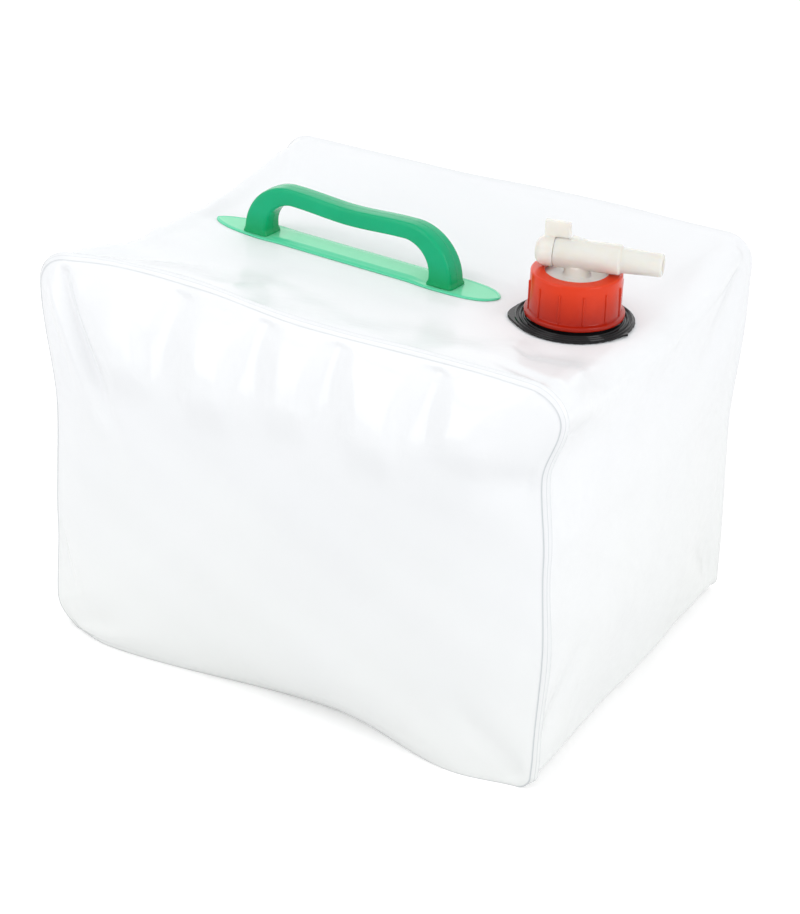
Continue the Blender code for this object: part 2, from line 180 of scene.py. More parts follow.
def wave(values, places, offsets):
    """Eases from each offset to the next along a run of places."""
    places = np.asarray(places)
    offsets = np.asarray(offsets)
    index = np.clip(np.searchsorted(places, values, side="right") - 1, 0, len(places) - 2)
    share = ease((values - places[index]) / (places[index + 1] - places[index]))
    return offsets[index] + (offsets[index + 1] - offsets[index]) * share


def places_on_run(across, up, start, end):
    """Where points of a panel lie on the run from a start to an end: the share of it, and how far off."""
    run = np.subtract(end, start)
    length = np.hypot(*run)
    run = run / length
    side_x = across - start[0]
    side_z = up - start[1]
    along = (side_x * run[0] + side_z * run[1]) / length
    return along, side_x * run[1] - side_z * run[0]


def fold(across, up, start, end, width, height):
    """A fold that is full at its start on a panel, spreads, and dies out at its end."""
    along, off = places_on_run(across, up, start, end)
    spread = width * (1 + fold_spread * np.clip(along, 0.0, 1.0))
    fade = ease((along + fold_lead) / fold_lead) * ease((fold_last - along) / fold_fade)
    return height * fade * np.exp(-((off / spread) ** 2))


def tongue(across, up, start, end, width, height):
    """A pillow of film that swells from nothing at its start to a blunt, full end."""
    along, off = places_on_run(across, up, start, end)
    rise = np.clip(along / tongue_full, 0.0, 1.0) * ease((tongue_last - along) / tongue_fade)
    return height * rise * np.exp(-((off / width) ** 4))


def bag_outline():
    """Points round the bag's cross-section with its outward normals, from the floor's right end."""
    points = []
    normals = []
    corners = (
        (half_length - lower_right_corner, lower_right_corner, lower_right_corner, -90, side_rows),
        (half_length - upper_corner, bag_height - upper_corner, upper_corner, 0, top_rows),
        (-half_length + upper_corner, bag_height - upper_corner, upper_corner, 90, side_rows),
        (-half_length + lower_left_corner, lower_left_corner, lower_left_corner, 180, floor_rows),
    )
    for number, (centre_x, centre_z, radius, first, rows) in enumerate(corners):
        turns = np.radians(first + 90 * np.arange(corner_steps) / corner_steps)
        ways = np.column_stack([np.cos(turns), np.sin(turns)])
        points.append(np.array([centre_x, centre_z]) + radius * ways)
        normals.append(ways)
        last = math.radians(first + 90)
        way = np.array([math.cos(last), math.sin(last)])
        start = np.array([centre_x, centre_z]) + radius * way
        next_x, next_z, next_radius = corners[(number + 1) % len(corners)][:3]
        end = np.array([next_x, next_z]) + next_radius * way
        points.append(start + (end - start) * (np.arange(rows) / rows)[:, None])
        normals.append(np.repeat(way[None], rows, axis=0))
    return np.vstack(points), np.vstack(normals)


outline, outline_normal = bag_outline()
outline_x, outline_z = outline.T
normal_x, normal_z = outline_normal.T
point_count = len(outline)
height_share = outline_z / bag_height
length_share = outline_x / half_length
to_right = np.clip(normal_x, 0, None)
to_left = np.clip(-normal_x, 0, None)
to_top = np.clip(normal_z, 0, None)
to_floor = np.clip(-normal_z, 0, None)

right_front = wave(
    height_share, (0, 0.1, 0.36, 0.6, 0.8, 0.94, 1), (0, 0.001, 0.003, 0, -0.004, 0.005, 0.005)
)
left_front = wave(height_share, (0, 0.08, 0.3, 0.62, 0.92, 1), (0, 0.001, -0.002, -0.006, 0.002, 0.002))
right_back = wave(height_share, (0, 0.1, 0.5, 0.82, 1), (0, 0.0, -0.003, 0.001, 0.001))
left_back = wave(height_share, (0, 0.1, 0.4, 0.75, 0.94, 1), (0, 0.002, -0.004, -0.001, 0.003, 0.002))
right_middle = wave(height_share, (0, 0.3, 0.6, 0.85, 1), (0, 0.004, 0.001, -0.003, -0.001))
left_middle = wave(height_share, (0, 0.3, 0.6, 0.85, 1), (0, 0.003, -0.002, -0.004, -0.001))
front_lift = wave(length_share, (-1, -0.7, -0.35, 0.1, 1), (0.002, 0.0055, 0.005, 0.001, 0.001))
back_lift = wave(length_share, (-1, -0.2, 0.3, 1), (0.001, 0.0, 0.002, 0.0))
front_pull = wave(length_share, (-1, -0.55, 0.1, 0.7, 1), (0.0, 0.006, 0.001, 0.003, 0.0))
front_floor = wave(length_share, (-1, -0.74, 0.2, 0.72, 1), (0.002, -0.007, 0.010, -0.008, 0.0))
back_floor = wave(length_share, (-1, -0.5, 0.1, 0.7, 1), (0.0, -0.006, 0.004, -0.007, 0.0))

front_seam = np.column_stack(
    [
        outline_x + to_right * right_front - to_left * left_front,
        -half_depth + to_top * front_pull + to_floor * front_floor,
        outline_z + to_top * front_lift,
    ]
)
back_seam = np.column_stack(
    [
        outline_x + to_right * right_back - to_left * left_back,
        half_depth + to_floor * back_floor,
        outline_z + to_top * back_lift,
    ]
)

front_folds = (
    ((-0.070, 0.247), (-0.080, 0.200), 0.0095, -0.0034),
    ((-0.011, 0.247), (-0.020, 0.200), 0.0085, -0.0032),
    ((0.037, 0.246), (0.030, 0.206), 0.0075, -0.0030),
    ((0.098, 0.246), (0.094, 0.208), 0.0085, -0.0032),
    ((-0.150, 0.244), (-0.1035, 0.150), 0.0042, -0.0040),
    ((-0.1555, 0.232), (-0.122, 0.160), 0.0060, 0.0030),
    ((-0.164, 0.070), (-0.145, 0.026), 0.0030, -0.0018),
    ((-0.150, 0.004), (-0.085, 0.020), 0.0060, 0.0022),
    ((0.160, 0.010), (0.110, 0.062), 0.0100, -0.0030),
    ((0.166, 0.200), (0.130, 0.192), 0.0070, -0.0020),
)
front_tongues = (
    ((-0.120, 0.248), (-0.097, 0.196), 0.0150, 0.0042),
    ((-0.044, 0.249), (-0.042, 0.190), 0.0150, 0.0044),
    ((0.012, 0.249), (0.012, 0.198), 0.0135, 0.0040),
    ((0.066, 0.249), (0.066, 0.190), 0.0165, 0.0046),
    ((0.126, 0.248), (0.120, 0.206), 0.0160, 0.0032),
)
back_folds = (
    ((0.060, 0.247), (0.072, 0.198), 0.0060, -0.0040),
    ((-0.004, 0.247), (0.004, 0.206), 0.0055, -0.0036),
    ((-0.078, 0.246), (-0.066, 0.204), 0.0060, -0.0042),
    ((0.152, 0.246), (0.112, 0.160), 0.0034, -0.0024),
    ((-0.154, 0.244), (-0.118, 0.176), 0.0034, -0.0024),
    ((-0.160, 0.012), (-0.112, 0.066), 0.0090, -0.0028),
    ((0.162, 0.060), (0.140, 0.024), 0.0034, -0.0018),
)
back_tongues = (
    ((0.106, 0.248), (0.090, 0.190), 0.0180, 0.0042),
    ((0.028, 0.248), (0.034, 0.194), 0.0180, 0.0040),
    ((-0.042, 0.248), (-0.032, 0.190), 0.0190, 0.0042),
    ((-0.118, 0.247), (-0.104, 0.200), 0.0160, 0.0036),
)
right_folds = (
    ((-0.128, 0.246), (-0.070, 0.214), 0.0090, 0.0026),
    ((-0.120, 0.236), (-0.080, 0.180), 0.0110, -0.0018),
    ((0.128, 0.246), (0.030, 0.224), 0.0055, 0.0034),
    ((0.120, 0.224), (0.060, 0.160), 0.0130, -0.0036),
    ((0.016, 0.238), (0.020, 0.196), 0.0110, 0.0012),
    ((-0.020, 0.236), (-0.030, 0.200), 0.0120, -0.0011),
    ((0.046, 0.236), (0.050, 0.190), 0.0120, -0.0013),
    ((-0.126, 0.020), (-0.070, 0.080), 0.0100, -0.0030),
    ((0.128, 0.020), (0.080, 0.070), 0.0090, -0.0026),
)
left_folds = (
    ((-0.128, 0.246), (-0.060, 0.206), 0.0070, 0.0030),
    ((-0.120, 0.234), (-0.076, 0.170), 0.0060, -0.0026),
    ((0.126, 0.244), (0.072, 0.190), 0.0060, -0.0030),
    ((0.020, 0.242), (0.010, 0.190), 0.0080, -0.0026),
    ((-0.030, 0.242), (-0.034, 0.196), 0.0080, 0.0024),
    ((-0.126, 0.022), (-0.074, 0.078), 0.0100, -0.0030),
    ((0.126, 0.024), (0.076, 0.060), 0.0080, -0.0024),
)
top_folds = (
    ((0.168, -0.122), (0.112, -0.100), 0.0040, -0.0022),
    ((0.164, -0.110), (0.150, -0.052), 0.0080, 0.0026),
    ((0.120, -0.070), (0.136, -0.050), 0.0120, -0.0016),
    ((0.160, 0.122), (0.150, 0.052), 0.0090, 0.0026),
    ((0.156, 0.126), (0.124, 0.040), 0.0090, -0.0020),
    ((-0.156, -0.124), (-0.120, -0.064), 0.0060, -0.0024),
    ((-0.166, -0.104), (-0.140, -0.050), 0.0080, 0.0020),
    ((-0.158, 0.122), (-0.126, 0.066), 0.0060, -0.0024),
    ((-0.040, -0.128), (-0.034, -0.070), 0.0120, -0.0014),
    ((0.030, 0.128), (0.024, 0.070), 0.0120, -0.0014),
)


def gathered(across, up, folds, tongues=()):
    """What the folds and tongues of one panel add to its surface."""
    return sum(fold(across, up, *one) for one in folds) + sum(tongue(across, up, *one) for one in tongues)


def unrest(across, up, phase):
    """The shallow waves, slow and quick, of film that nothing holds tight."""
    slow = np.sin(across * slow_wave_across + phase) * np.sin(up * slow_wave_up + slow_phase * phase)
    quick = np.sin(across * quick_wave_across + up * quick_wave_up + quick_phase * phase)
    quick = quick * np.sin(up * cross_wave_up - across * cross_wave_across + phase)
    return slow_wave_height * slow + quick_wave_height * quick


def end_panel(seam, side, folds, tongues, phase, ring_count):
    """Rings of points from the seam in to the middle of the front or the back panel."""
    middle = np.array([0.0, side * (half_depth + panel_swell), bag_height / 2])
    rings = []
    for step in range(ring_count):
        reach = 1 - (step / ring_count) ** ring_crowding
        ring = middle + (seam - middle) * reach
        ring[:, 1] = middle[1] + (seam[:, 1] - middle[1]) * reach**panel_swell_power
        held = ease((1 - reach) / seam_hold)
        lift = gathered(ring[:, 0], ring[:, 2], folds, tongues) + unrest(ring[:, 0], ring[:, 2], phase)
        ring[:, 1] += side * held * lift
        rings.append(ring)
    return rings, middle


# The lip's section: the share of its length, the place in its thickness, and how much of a weld
# line shows there.
lip_path = (
    (0.0, -0.5, 1.0),
    (0.07, -0.5, 0.1),
    (0.48, -0.5, 0.0),
    (0.55, -0.5 - weld_line / lip_ply, 0.6),
    (0.62, -0.5, 0.0),
    (0.93, -0.5, 0.1),
    (1.0, -0.25, 0.8),
    (1.0, 0.25, 0.8),
    (0.93, 0.5, 0.1),
    (0.0, 0.5, 0.0),
)


def weld_lip(seam, side, steady_lean, full_length):
    """Rings of points out along one face of the lip, over its edge and back, with how much of a
    weld line each ring is. The lip leans away from the band, or over it if its lean is negative,
    and lies flat where the bag meets the floor."""
    flat_lean = math.copysign(math.radians(90), steady_lean)
    lean = steady_lean + (flat_lean - steady_lean) * ease(1 - outline_z / lower_right_corner)
    wiggle = np.sin(outline_x * lip_wiggle_across + outline_z * lip_wiggle_up)
    lean = lean + lip_wiggle * wiggle * (1 - to_floor)
    away = np.column_stack([normal_x * np.cos(lean), side * np.sin(lean), normal_z * np.cos(lean)])
    across = np.column_stack([normal_x * np.sin(lean), -side * np.cos(lean), normal_z * np.sin(lean)])
    uneven = np.sin(outline_x * lip_uneven_across - outline_z * lip_uneven_up)
    length = full_length * (1 + lip_unevenness * uneven)
    rings = []
    for reach, face, _ in lip_path:
        rings.append(seam + away * (length * reach)[:, None] + across * (lip_ply * face))
    return rings, [weld for _, _, weld in lip_path]


def band():
    """Rings of points across the band, from the front seam to the back one."""
    rings = []
    for column in range(1, band_columns):
        share = column / band_columns
        front = 1 - ease(share / seam_reach)
        back = 1 - ease((1 - share) / seam_reach)
        middle = 1 - front - back
        ring = front_seam + (back_seam - front_seam) * share
        ring[:, 0] = (
            outline_x
            + to_right * (right_front * front + right_back * back + right_middle * middle)
            - to_left * (left_front * front + left_back * back + left_middle * middle)
        )
        y = ring[:, 1]
        level = ease((half_depth - np.abs(y)) / (half_depth - seat_half_width))
        edge = np.abs(outline_x) - (half_length - edge_band)
        edge_sag = np.where(outline_x > 0, right_edge_sag, left_edge_sag)
        sag = (bag_height - seat_level) + (edge_sag - bag_height + seat_level) * ease(edge / edge_band)
        hang = ease((height_share - hang_start) / (1 - hang_start))
        ring[:, 2] = outline_z - sag * level * hang + to_top * (front_lift * front + back_lift * back)
        away = ease((np.minimum(share, 1 - share) - band_hold_start) / band_hold_reach)
        x = ring[:, 0]
        z = ring[:, 2]
        off_patch = np.hypot((x - handle_x) / patch_clear_length, y / patch_clear_width) - 1
        off_flange = (np.hypot(x - closure_x, y - closure_y) - flange_clear_radius) / seat_margin
        free = ease(off_patch / patch_margin) * ease(off_flange)
        out = (
            to_right * (gathered(y, z, right_folds) + unrest(y, z, right_phase))
            + to_left * (gathered(y, z, left_folds) + unrest(y, z, left_phase))
            + to_top * free * (gathered(x, y, top_folds) + top_unrest * unrest(x, y, top_phase))
        )
        ring[:, 0] += normal_x * out * away
        ring[:, 2] += normal_z * out * away
        rings.append(ring)
    return rings


def film_mesh():
    """One closed skin: front panel, front lip, band, back lip and back panel."""
    front_panel, front_middle = end_panel(
        front_seam, -1, front_folds, front_tongues, front_phase, front_rings
    )
    back_panel, back_middle = end_panel(
        back_seam, 1, back_folds, back_tongues, back_phase, back_rings
    )
    front_lip, front_welds = weld_lip(front_seam, -1, -lip_lean, lip_length)
    back_lip, back_welds = weld_lip(back_seam, 1, back_lip_lean, lip_length * back_lip_share)
    rings = front_panel[:0:-1] + front_lip + band() + back_lip[::-1] + back_panel[1:]
    welds = [0.0] * (front_rings - 1) + front_welds + [0.0] * (band_columns - 1)
    welds += [weld * back_weld_share for weld in back_welds[::-1]] + [0.0] * (back_rings - 1)
    points = np.vstack([front_middle[None]] + rings + [back_middle[None]])
    points[:, 2] = np.maximum(points[:, 2], floor_clearance)
    count = point_count
    last = len(points) - 1
    faces = []
    for index in range(count):
        after = (index + 1) % count
        faces.append((0, 1 + index, 1 + after))
        for ring in range(len(rings) - 1):
            low = 1 + ring * count
            high = low + count
            faces.append((low + index, high + index, high + after, low + after))
        top = 1 + (len(rings) - 1) * count
        faces.append((last, top + after, top + index))
    mesh = bpy.data.meshes.new("bag_film")
    mesh.from_pydata(points.tolist(), [], faces)
    round_weld = 1 + (top_weld_share - 1) * to_top
    shares = np.concatenate([[0.0], np.outer(welds, round_weld).ravel(), [0.0]])
    mesh.attributes.new("weld", "FLOAT", "POINT").data.foreach_set("value", shares)
    return mesh


def placed(name, mesh):
    """A mesh as an object of the scene."""
    made = bpy.data.objects.new(name, mesh)
    bpy.context.scene.collection.objects.link(made)
    return made


film = placed("bag_film", film_mesh())
shell = bmesh.new()
shell.from_mesh(film.data)
bmesh.ops.recalc_face_normals(shell, faces=shell.faces)


def under_neck(vert):
    """Whether a point of the film lies in the hole below the neck, whose edge the flange hides."""
    off_axis = math.hypot(vert.co.x - closure_x, vert.co.y - closure_y)
    return vert.co.z > seat_level - neck_hole_depth and off_axis < neck_hole


bmesh.ops.delete(shell, geom=[vert for vert in shell.verts if under_neck(vert)], context="VERTS")
shell.to_mesh(film.data)
shell.free()
film.data.shade_smooth()


def node(tree, kind, place=(0, 0), **settings):
    """Adds a node to a tree. Settings whose names start with a capital are its sockets' values."""
    made = tree.nodes.new(kind)
    made.location = place
    for name, value in settings.items():
        if name[0].isupper():
            made.inputs[name.replace("_", " ")].default_value = value
        else:
            setattr(made, name, value)
    return made


def wire(tree, *ways):
    """Joins a tree's sockets. Each way names a node, its output, the next node and its input."""
    for giver, output, taker, entry in ways:
        tree.links.new(giver.outputs[output], taker.inputs[entry])


def tree_sockets(tree, way, kind, *titles):
    """Gives a tree named inputs or outputs of one kind."""
    new_socket = tree.interface.new_socket
    return [new_socket(title, in_out=way, socket_type="NodeSocket" + kind) for title in titles]


def tint_ramp(tree, place, low, high, low_stop=0.0, high_stop=1.0):
    """A ramp from one colour to another, with the stop of each."""
    made = node(tree, "ShaderNodeValToRGB", place)
    for element, stop, colour in zip(made.color_ramp.elements, (low_stop, high_stop), (low, high)):
        element.position = stop
        element.color = (*colour, 1)
    return made


def plastic(name, colour, roughness, **sockets):
    """A material with its Principled shader, ready for its own pattern."""
    made = bpy.data.materials.new(name)
    made.use_nodes = True
    shader = made.node_tree.nodes["Principled BSDF"]
    shader.inputs["Base Color"].default_value = (*colour, 1.0)
    shader.inputs["Roughness"].default_value = roughness
    for socket, value in sockets.items():
        shader.inputs[socket.replace("_", " ")].default_value = value
    return made, made.node_tree, shader


def handling_group():
    """Node group: what moulding and handling leave on a plastic surface. It puts out a mask of
    cloudy spots, a roughness that varies with them, and a normal with a faint orange peel."""
    group = bpy.data.node_groups.new("moulded plastic", "ShaderNodeTree")
    entries = tree_sockets(group, "INPUT", "Float", "Roughness", "Cloud Size", "Peel Size", "Peel Height")
    for socket, value in zip(entries, (0.3, 30.0, 900.0, 0.00002)):
        socket.default_value = value
    tree_sockets(group, "OUTPUT", "Float", "Cloud", "Roughness")
    tree_sockets(group, "OUTPUT", "Vector", "Normal")
    enter = node(group, "NodeGroupInput", (-900, 0))
    leave = node(group, "NodeGroupOutput", (500, 0))
    place = node(group, "ShaderNodeTexCoord", (-900, 300))
    cloud = node(group, "ShaderNodeTexNoise", (-600, 200), Detail=4.0, Roughness=0.6)
    peel = node(group, "ShaderNodeTexNoise", (-600, -200), Detail=2.0)
    spread = node(
        group, "ShaderNodeMapRange", (-300, 200), From_Min=0.3, From_Max=0.7, To_Min=0.75, To_Max=1.35
    )
    rough = node(group, "ShaderNodeMath", (0, 100), operation="MULTIPLY")
    bump = node(group, "ShaderNodeBump", (200, -200), Strength=1.0)
    wire(
        group,
        (place, "Object", cloud, "Vector"),
        (place, "Object", peel, "Vector"),
        (enter, "Cloud Size", cloud, "Scale"),
        (enter, "Peel Size", peel, "Scale"),
        (enter, "Peel Height", bump, "Distance"),
        (cloud, "Fac", spread, "Value"),
        (spread, "Result", rough, 0),
        (enter, "Roughness", rough, 1),
        (peel, "Fac", bump, "Height"),
        (cloud, "Fac", leave, "Cloud"),
        (rough, "Value", leave, "Roughness"),
        (bump, "Normal", leave, "Normal"),
    )
    return group


moulded_plastic = handling_group()


def add_handling(tree, shader, **values):
    """Places the group in a material and joins its roughness and normal to the shader."""
    made = tree.nodes.new("ShaderNodeGroup")
    made.node_tree = moulded_plastic
    for name, value in values.items():
        made.inputs[name.replace("_", " ")].default_value = value
    wire(
        tree,
        (made, "Roughness", shader, "Roughness"),
        (made, "Normal", shader, "Normal"),
    )
    return made


def film_material():
    """Clear film that has gone a little milky, with painted light that makes it cool near the top and warmer
    below, grey in the welds, and dulled by handling where it faces up."""
    made, tree, shader = plastic("clear_film", (0.91, 0.94, 0.94), 0.14, IOR=1.5)
    group = add_handling(tree, shader, Cloud_Size=14.0, Peel_Size=120.0, Peel_Height=0.00012)
    facing = node(tree, "ShaderNodeNewGeometry", (-1400, -300))
    upwards = node(tree, "ShaderNodeSeparateXYZ", (-1200, -300))
    upward = dict(From_Min=0.5, From_Max=0.9)
    dulled = node(tree, "ShaderNodeMapRange", (-1050, -300), **upward, To_Min=0.12, To_Max=0.19)
    wire(
        tree,
        (facing, "Normal", upwards, "Vector"),
        (upwards, "Z", dulled, "Value"),
        (dulled, "Result", group, "Roughness"),
    )
    sheen = node(tree, "ShaderNodeMapRange", (-1050, -550), **upward, To_Min=0.5, To_Max=0.03)
    wire(
        tree,
        (upwards, "Z", sheen, "Value"),
        (sheen, "Result", shader, "Specular IOR Level"),
    )
    place = node(tree, "ShaderNodeTexCoord", (-1400, 200))
    split = node(tree, "ShaderNodeSeparateXYZ", (-1200, 200))
    # Painted light: this ramp by height makes the film cooler near the top and warmer near the floor.
    tint = tint_ramp(tree, (-900, 300), film_low_painted_light_tint, film_high_painted_light_tint, 0.15, 0.95)
    height = node(tree, "ShaderNodeMapRange", (-1050, 200), From_Max=bag_height)
    mottle = node(tree, "ShaderNodeTexNoise", (-1200, -100), Scale=9.0, Detail=3.0)
    stir = node(tree, "ShaderNodeMath", (-1050, 0), operation="MULTIPLY_ADD")
    stir.inputs[1].default_value = 0.5
    weld = node(tree, "ShaderNodeAttribute", (-900, -100), attribute_name="weld")
    grey = node(tree, "ShaderNodeMix", (-400, 200), data_type="RGBA")
    grey.inputs["B"].default_value = weld_grey
    density = node(tree, "ShaderNodeMapRange", (-400, -300), To_Min=0.88, To_Max=0.95)
    wire(
        tree,
        (place, "Object", split, "Vector"),
        (place, "Object", mottle, "Vector"),
        (split, "Z", height, "Value"),
        (mottle, "Fac", stir, 0),
        (height, "Result", stir, 2),
        (stir, "Value", tint, "Fac"),
        (tint, "Color", grey, "A"),
        (weld, "Fac", grey, "Factor"),
        (grey, "Result", shader, "Base Color"),
        (weld, "Fac", density, "Value"),
        (density, "Result", shader, "Alpha"),
    )
    return made


film.data.materials.append(film_material())
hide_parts("bottom_panel", "front_panel", "back_panel", "left_side_panel", "right_side_panel", "top_panel")
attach(film, "bag_base")
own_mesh(film)


# Handle patch. A leaf of thin light green film is welded flat to the bag's top, a few degrees askew.
# The handle pulls it up a little between its feet, so its near side tilts down to the weld.
patch_low, patch_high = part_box("handle_patch")
patch_half = (patch_high.x - patch_low.x) / 2
patch_half_width = (patch_high.y - patch_low.y) / 2
patch_base = patch_low.z
patch_ply = patch_high.z - patch_low.z
patch_pull = 0.0013
patch_crease = 0.0062
patch_edge = 0.0012
patch_bead = 0.0002
patch_waist = 0.0014
patch_set_back = 0.0018
left_fullness = 5
right_fullness = 10
patch_sharpness = 0.6
patch_steps = 200
patch_lanes = 40
handle_turn = math.radians(-4.2)
handle_shift = 0.0014
handle_stretch = 1.03
feet_reach = 0.62
feet_fade = 0.2
crown_rim = 0.0004
least_fall = 0.001
bead_inset = 0.0022
bead_spread = 0.0006
patch_merge_distance = 0.00001
handle_place = (
    Matrix.Translation((handle_x, handle_shift, 0.0))
    @ Matrix.Rotation(handle_turn, 4, "Z")
    @ Matrix.Diagonal((handle_stretch, 1.0, 1.0, 1.0))
    @ Matrix.Translation((-handle_x, 0.0, 0.0))
)


def smooth_mesh(name, bm, sharp_angle=None):
    """Keeps a bmesh as a smooth-shaded mesh, whose edges past an angle stay sharp."""
    mesh = bpy.data.meshes.new(name)
    bm.to_mesh(mesh)
    bm.free()
    mesh.shade_smooth()
    if sharp_angle is not None:
        mesh.set_sharp_from_angle(angle=sharp_angle)
    return mesh


def patch_mesh():
    """The leaf's upper and lower skins, joined round its rim."""
    bm = bmesh.new()
    upper = []
    lower = []
    for step in range(patch_steps + 1):
        along = math.sin(math.radians(-90 + 180 * step / patch_steps))
        fullness = left_fullness if along < 0 else right_fullness
        half = patch_half_width * max(1 - abs(along) ** fullness, 0.0) ** patch_sharpness
        between_feet = float(ease((feet_reach - abs(along)) / feet_fade))
        half -= patch_waist * between_feet
        top_row = []
        low_row = []
        for lane in range(patch_lanes + 1):
            across = -half + 2 * half * lane / patch_lanes
            inset = half - abs(across)
            rim = min(1.0, max(inset, 0.0) / patch_edge) ** 0.5
            fall = float(ease((half - crown_rim - abs(across)) / max(half - patch_crease, least_fall)))
            crown = patch_pull * between_feet * fall
            bead = patch_bead * math.exp(-(((inset - bead_inset) / bead_spread) ** 2))
            x = handle_x + along * patch_half
            y = across + patch_set_back
            top_row.append(bm.verts.new((x, y, patch_base + patch_ply * rim + bead * rim + crown)))
            low_row.append(bm.verts.new((x, y, patch_base)))
        upper.append(top_row)
        lower.append(low_row)
    for skin in (upper, lower):
        for near, far in zip(skin, skin[1:]):
            for a, b, c, d in zip(near, near[1:], far[1:], far):
                bm.faces.new((a, b, c, d))
    bmesh.ops.remove_doubles(bm, verts=bm.verts, dist=patch_merge_distance)
    bmesh.ops.recalc_face_normals(bm, faces=bm.faces)
    bm.transform(handle_place)
    return smooth_mesh("handle_leaf", bm)


def leaf_material():
    """Translucent light green, with painted shade that deepens it where the near side tilts down to the
    weld.
    """
    made, tree, shader = plastic("leaf_green", (0.10, 0.80, 0.42), 0.3, IOR=1.5, Alpha=0.80)
    group = add_handling(tree, shader, Roughness=0.18, Cloud_Size=45.0, Peel_Size=300.0, Peel_Height=0.00004)
    tint = tint_ramp(tree, (-500, 300), (0.15, 0.84, 0.46), (0.27, 0.90, 0.56))
    facing = node(tree, "ShaderNodeNewGeometry", (-1100, 0))
    split = node(tree, "ShaderNodeSeparateXYZ", (-900, 0))
    # Painted shade: where the leaf faces the front as it tilts down, its green is mixed darker.
    shade_by_tilt = node(tree, "ShaderNodeMapRange", (-700, 0), From_Min=-0.03, From_Max=-0.14)
    painted_shade = node(tree, "ShaderNodeMix", (-250, 200), data_type="RGBA")
    painted_shade.inputs["B"].default_value = (0.12, 0.78, 0.46, 1)
    wire(
        tree,
        (group, "Cloud", tint, "Fac"),
        (facing, "Normal", split, "Vector"),
        (split, "Y", shade_by_tilt, "Value"),
        (shade_by_tilt, "Result", painted_shade, "Factor"),
        (tint, "Color", painted_shade, "A"),
        (painted_shade, "Result", shader, "Base Color"),
    )
    return made


leaf = placed("handle_leaf", patch_mesh())
leaf.data.materials.append(leaf_material())
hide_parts("handle_patch")
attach(leaf, "bag_top")


# Handle grip. One moulding of soft green plastic: two stout legs that bend into a bar, with flat
# faces, rounded edges and a shallow dip. Its mould leaves a parting line along its outer face.
grip_low, grip_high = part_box("handle_grip")
grip_foot = grip_low.z
leg_thickness = 0.016
leg_width = grip_high.y - grip_low.y
bar_thickness = 0.0108
bar_width = 0.0125
grip_reach = (grip_high.x - grip_low.x - leg_thickness) / 2
grip_crown = grip_high.z - grip_foot - bar_thickness / 2
grip_bend = 0.025
grip_dip = 0.0020
grip_edge = 0.0022
grip_face_crown = 0.0003
bend_steps = 26
bar_steps = 40
edge_steps = 7
foot_flare = 0.0010
foot_flare_height = 0.0035
side_flare_share = 0.5
# Where the painted shade at the grip's feet fades out, measured up from the foot.
foot_shade_start = 0.002
foot_shade_end = 0.015
leg_steps = 6
grip_sharp_angle = math.radians(50)


def grip_path():
    """The grip's middle line from foot to foot, with the share of leg in its section."""
    flat = grip_reach - grip_bend
    right = [(Vector((grip_reach, 0.0)), 1.0)]
    straight = grip_crown - grip_bend
    for step in range(1, leg_steps):
        right.append((Vector((grip_reach, straight * step / leg_steps)), 1.0))
    for step in range(bend_steps + 1):
        turn = math.radians(90) * step / bend_steps
        out = flat + grip_bend * math.cos(turn)
        right.append((Vector((out, straight + grip_bend * math.sin(turn))), 1 - step / bend_steps))
    for step in range(1, bar_steps // 2 + 1):
        share = 2 * step / bar_steps
        right.append((Vector((flat * (1 - share), grip_crown - grip_dip * float(ease(share)))), 0.0))
    left = [(Vector((-point.x, point.y)), leg) for point, leg in right[:-1]]
    return left + right[::-1]


def grip_section(half_width, half_thick):
    """A round-edged rectangle as (across, out) points, its four faces very slightly crowned."""
    points = []
    for corner in range(4):
        turn = math.radians(90) * corner
        side_x = 1 if corner in (0, 3) else -1
        side_y = 1 if corner in (0, 1) else -1
        centre = (side_x * (half_width - grip_edge), side_y * (half_thick - grip_edge))
        for step in range(edge_steps + 1):
            swing = turn + math.radians(90) * step / edge_steps
            points.append((centre[0] + grip_edge * math.cos(swing), centre[1] + grip_edge * math.sin(swing)))
        if corner % 2 == 0:
            points.append((0.0, side_y * (half_thick + grip_face_crown)))
        else:
            points.append((side_x * (half_width + grip_face_crown), 0.0))
    return points


def grip_mesh():
    """Sections along the grip's middle line, closed at both feet."""
    path = grip_path()
    last = len(path) - 1
    bm = bmesh.new()
    sections = []
    for index, (point, leg) in enumerate(path):
        tangent = (path[min(index + 1, last)][0] - path[max(index - 1, 0)][0]).normalized()
        if index in (0, last):
            tangent = Vector((0.0, math.copysign(1.0, -point.x)))
        outwards = Vector((-tangent.y, tangent.x))
        flare = foot_flare * (1 - float(ease(point.y / foot_flare_height)))
        half_thick = (bar_thickness + (leg_thickness - bar_thickness) * leg) / 2 + flare
        half_width = (bar_width + (leg_width - bar_width) * leg) / 2 + flare * side_flare_share
        section = []
        for across, out in grip_section(half_width, half_thick):
            place = point + outwards * out
            section.append(bm.verts.new((handle_x + place.x, across, grip_foot + max(place.y, 0.0))))
        sections.append(section)
    corners = len(sections[0])
    for near, far in zip(sections, sections[1:]):
        for corner in range(corners):
            following = (corner + 1) % corners
            bm.faces.new((near[corner], near[following], far[following], far[corner]))
    bm.faces.new(sections[0])
    bm.faces.new(sections[-1])
    bmesh.ops.recalc_face_normals(bm, faces=bm.faces)
    bm.transform(handle_place)
    return smooth_mesh("carrying_grip", bm, grip_sharp_angle)


